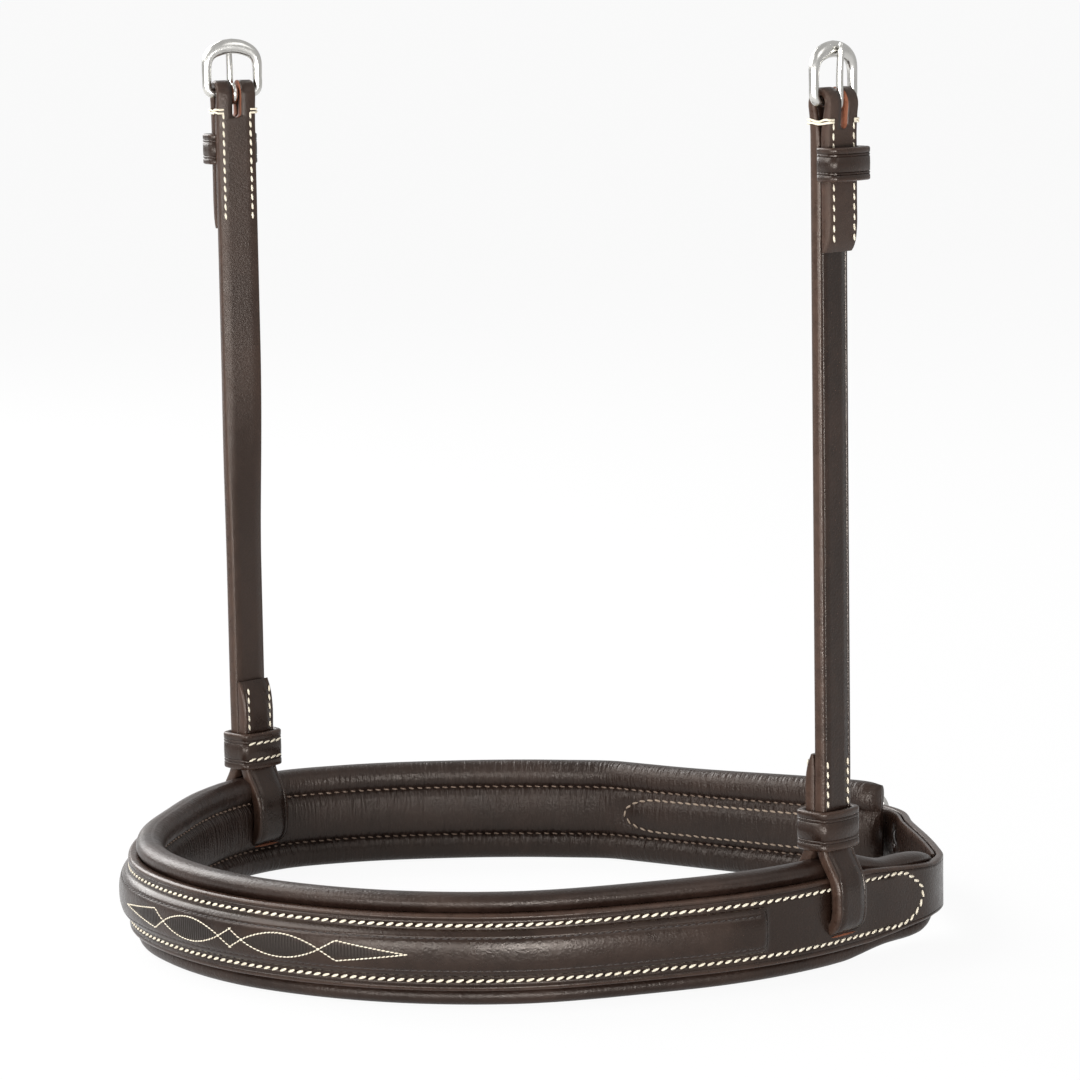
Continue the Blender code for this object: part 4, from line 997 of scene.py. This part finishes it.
STITCHED_POINT = (
    (603.0, 7.9), (607.5, 7.4), (609.8, 6.4), (611.6, 5.2), (613.6, 3.7), (615.2, 2.0), (615.7, 0.2),
    (615.1, -2.2), (613.3, -4.5), (610.9, -6.3), (608.0, -7.3), (603.0, -7.9),
)
ROW_START = 13 * STITCH_PITCH / 6
ROW_POINTS = 638
TONAL_POINTS = 316
straight = [ROW_START + k * STITCH_PITCH / 3 for k in range(ROW_POINTS)]
top_row, low_row = [[on_strap(run, w, -0.22) for run in straight if run < GROOVE_END]
                    for w in (STITCH_ROW, -STITCH_ROW)]
point_row = [on_strap(p.x, p.y, 0.05) for p in smooth_line([Vector(p) for p in STITCHED_POINT], 0.7)]
white_row = top_row + point_row + low_row[::-1]
white_rows = sew("strap_stitches", [white_row], (STITCH_PITCH, 2.6, 0.92, 0.74, 22), cream_thread)
tonal = RAISED_HALF_WIDTH * TONAL_SHARE
tonal_runs = [RAISED_START + 4 + k for k in range(TONAL_POINTS)]
tonal_lines = [[on_strap(run, w, -0.12) for run in tonal_runs] for w in (tonal, -tonal)]
tonal_rows = sew("filler_stitches", tonal_lines, (2.3, 1.9, 0.5, 0.42, 8), dark_thread_and_hole_shade)
# Dark shapes a little longer than each cream stitch: painted shade in the needle holes at its ends.
needle_hole_shade = sew("strap_needle_hole_shade", [white_row], (STITCH_PITCH, 3.3, 0.7, 0.42, 22), dark_thread_and_hole_shade)


def in_padding(run, n, w):
    return pad_place(run, n, w), -band.out(run)


SEAM_FACE = -4.95
OUTLINE_FACE = -6.9
seam_rows = [[in_padding(run, SEAM_FACE, w) for run in straight] for w in (SEAM_HEIGHT, -SEAM_HEIGHT)]
inside_rows = sew("lining_stitches", seam_rows, (STITCH_PITCH, 1.9, 0.62, 0.6, -10), brown_thread)
outline_rows = [[in_padding(run, OUTLINE_FACE, side * OUTLINE_HALF)
                 for run in range(6, OUTLINE_RUN + 1)] for side in (1, -1)]
outline_rows.append([in_padding(OUTLINE_RUN + OUTLINE_NOSE * cos(a),
                                OUTLINE_FACE - 0.6 * cos(a), OUTLINE_HALF * sin(a))
                     for a in (pi * (k / 24 - 0.5) for k in range(25))])
chape_inside = sew("chape_stitches_inside", outline_rows, (2.75, 2.2, 0.72, 0.62, -10), tan_thread)
CHAPE_FACE = 6.12
CHAPE_ROW = 5.9
from_chape = at_jaw.to_3x3() @ Vector((0, 1, 0))
chape_rows = [[(at_jaw @ Vector((-x, CHAPE_FACE, side * CHAPE_ROW)), from_chape) for x in range(32, 84)]
              for side in (1, -1)]
chape_outside = sew("chape_stitches_outside", chape_rows, (2.9, 2.5, 0.75, 0.5, 12), cream_thread)
for piece, slot in ((white_rows, "strap_leather"), (needle_hole_shade, "strap_leather"),
                    (tonal_rows, "strap_leather"), (inside_rows, "lining_leather"),
                    (chape_inside, "lining_leather"), (chape_outside, "strap_leather")):
    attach(piece, "noseband")


# Fancy stitching on the raised centre
# A traditional pattern in fine cream thread, a diamond between two ovals and two kites, sewn through
# the face leather before the strap is raised; each shape is quilted, and painted shade darkens its inside.

distances = [k * 0.5 for k in range(int(MOTIF_NODES[-1] * 2) + 1)]
pattern_rows = [[on_strap(MOTIF_RUN + direction * d, side * motif_half_height(d), 0.05) for d in distances]
                for side in (1, -1) for direction in (1, -1)]
pattern = sew("fancy_stitches", pattern_rows, (1.28, 1.22, 0.42, 0.34, 9), cream_thread)
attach(pattern, "noseband")


# Stitches on the hangers
# Two rows hold each doubled part, and the last stitch below the fold is taken twice round the edge.
# The sliding keepers show their own two short rows where their ends are joined.

HANGER_ROW = 4.45
HANGER_ROW_STEPS = 12
UPPER_ROW = (211.5, 243.0, 0.02, 7.5)
LOWER_ROW = (48.5, 60.0, -3.62, 3.78)
WRAP_HEIGHTS = (243.9, 244.7)
WRAP_RADIUS = 0.34
WRAP_ROUTE = (
    (-0.15, 4.4), (-0.25, 5.4), (-0.15, 6.35), (0.9, 6.75), (3.8, 6.5), (6.7, 6.75), (7.65, 6.35), (7.8, 5.4),
    (7.65, 4.4),
)
UP = Vector((0, 0, 1))
KEEPER_ROWS = (38.4, 43.6)
KEEPER_FACE = -5.98
KEEPER_BULGE = 0.75
BULGE_HALF_WIDTH = 5.85
for side, (axes, _) in hanger_places.items():
    top = hanger_tops[side]
    rows = []
    for matrix, (low, high, inner, outer) in ((top, UPPER_ROW), (axes, LOWER_ROW)):
        for across in (HANGER_ROW, -HANGER_ROW):
            for n, facing in ((inner, -1), (outer, 1)):
                out = matrix.to_3x3() @ Vector((facing, 0, 0))
                rows.append([(matrix @ Vector((n, across, low + (high - low) * k / HANGER_ROW_STEPS)), out)
                             for k in range(HANGER_ROW_STEPS + 1)])
    hanger_stitches = sew(side + "_hanger_stitches", rows, (2.72, 2.2, 0.78, 0.62, 7), cream_thread)
    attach(hanger_stitches, side + "_hanger")
    for edge in (1, -1):
        for strand, z in enumerate(WRAP_HEIGHTS):
            line = smooth_line([Vector((n, y * edge, z + 0.3 * sin(n + strand)))
                                for n, y in WRAP_ROUTE], 0.6)
            rings = []
            for i, p in enumerate(line):
                along = (line[min(i + 1, len(line) - 1)] - line[max(i - 1, 0)]).normalized()
                out = along.cross(UP).normalized()
                rings.append([top @ (p + (out * cos(a) + UP * sin(a)) * WRAP_RADIUS)
                              for a in turns(8)])
            wrap = skin(f"{side}_edge_wrap_{'front' if edge < 0 else 'back'}_{strand}", rings,
                        [0.6 * i for i in range(len(rings))])
            dress(wrap, cream_thread)
            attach(wrap, side + "_hanger")

    out = axes.to_3x3() @ Vector((-1, 0, 0))
    rows = [[(axes @ Vector((KEEPER_FACE - KEEPER_BULGE * (1 - (y / BULGE_HALF_WIDTH) ** 2), y, z)),
              out) for y in (-5.6 + 0.7 * k for k in range(17))] for z in KEEPER_ROWS]
    keeper_stitches = sew(side + "_keeper_stitches", rows, (2.75, 2.7, 0.75, 0.6, 14), cream_thread)
    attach(keeper_stitches, side + "_keeper")


# Studio
# A white sweep under and behind the noseband. Two low wide lights at the front draw the highlights on the
# nose, a soft key stands high on the left, one behind it draws the pale sheen along the leather, and a
# weak one fills in from the right.

EYE = Vector((0.9218, -0.9423, 0.2973))
HEADING = radians(44)
PITCH_DOWN = 0.1363
ROLL = 0.01602
FOCAL_PIXELS = 4400.0
IMAGE_PIXELS = 1080.0
SENSOR_WIDTH = 36.0

ahead = Vector((-sin(HEADING) * cos(PITCH_DOWN), cos(HEADING) * cos(PITCH_DOWN),
                -sin(PITCH_DOWN)))
level = Vector((cos(HEADING), sin(HEADING), 0))
upward = level.cross(ahead)
view_side = level * cos(ROLL) - upward * sin(ROLL)
view_up = upward * cos(ROLL) + level * sin(ROLL)
camera = bpy.data.cameras.new("camera")
camera.sensor_width = SENSOR_WIDTH
camera.lens = SENSOR_WIDTH * FOCAL_PIXELS / IMAGE_PIXELS
camera.clip_end = 300.0
camera_object = placed("camera", camera)
turned_to_view = Matrix((view_side, view_up, -ahead)).transposed().to_4x4()
camera_object.matrix_world = Matrix.Translation(EYE) @ turned_to_view
bpy.context.scene.camera = camera_object

WHITE = (1.0, 1.0, 1.0, 1.0)
PAPER_SHOWN = 0.93
PAPER_REFLECTED = 0.5
SKY_LIGHT = 0.33
SKY_SHOWN = 0.67
SKY_REFLECTED = 0.32


def ray_kinds(finish):
    """Where the camera looks, what gloss reflects and what light passes through, as three sockets."""
    outputs = add_node(finish.tree, "ShaderNodeLightPath").outputs
    return [Finish(finish.tree, outputs[kind])
            for kind in ("Is Camera Ray", "Is Glossy Ray", "Is Transmission Ray")]


floor_mesh = bpy.data.meshes.new("studio_floor")
floor_mesh.from_pydata([(-60, -60, 0), (60, -60, 0), (60, 60, 0), (-60, 60, 0)], [], [(0, 1, 2, 3)])
floor = placed("studio_floor", floor_mesh)
floor.location.z = -0.0002
paper, paper_shader, sweep = new_finish("white_paper")
floor_mesh.materials.append(paper)
paper_shader.inputs["Base Color"].default_value = (0.82, 0.82, 0.82, 1.0)
paper_shader.inputs["Roughness"].default_value = 0.8
seen, glossy, passing = ray_kinds(sweep)
glow = sweep.node("Emission", inputs={"Color": WHITE, "Strength": 1.0})
shown = sweep.node("MixShader", inputs={
    0: seen * PAPER_SHOWN + glossy * PAPER_REFLECTED + passing * PAPER_SHOWN,
    1: Finish(paper.node_tree, paper_shader.outputs[0]), 2: glow})
shown.feed(paper.node_tree.nodes["Material Output"].inputs["Surface"])

world = bpy.data.worlds.new("studio")
bpy.context.scene.world = world
world.use_nodes = True
seen, glossy, passing = ray_kinds(Finish(world.node_tree))
background = world.node_tree.nodes["Background"]
background.inputs["Color"].default_value = WHITE
sky = seen * SKY_SHOWN + glossy * SKY_REFLECTED + passing * SKY_SHOWN + SKY_LIGHT
sky.feed(background.inputs["Strength"])

CENTRE = Vector((0.0, 0.0, 0.10))
toward_camera = Vector((sin(HEADING), -cos(HEADING), 0))
for name, place, size, height, power in (
        ("front_softbox", Vector((0.98, -0.68, -0.01)), 0.7, 0.15, 10.5),
        ("left_softbox", Vector((0.30, -1.26, 0.07)), 0.7, 0.28, 7.0),
        ("key_softbox", level * -0.95 + toward_camera * 0.25 + Vector((0, 0, 0.85)), 0.85, 0.85, 12.0),
        ("back_softbox", level * -0.95 - toward_camera * 1.0 + Vector((0, 0, 0.85)), 1.1, 1.1, 26.0),
        ("side_softbox", level * 0.9 + toward_camera * 0.7 + Vector((0, 0, 1.0)), 0.7, 0.7, 2.5)):
    lamp = bpy.data.lights.new(name, "AREA")
    lamp.shape = "RECTANGLE"
    lamp.size = size
    lamp.size_y = height
    lamp.energy = power
    lamp_object = placed(name, lamp)
    lamp_object.location = CENTRE + place
    lamp_object.rotation_euler = (-place).to_track_quat("-Z", "Y").to_euler()
bpy.context.scene.view_settings.view_transform = "Standard"
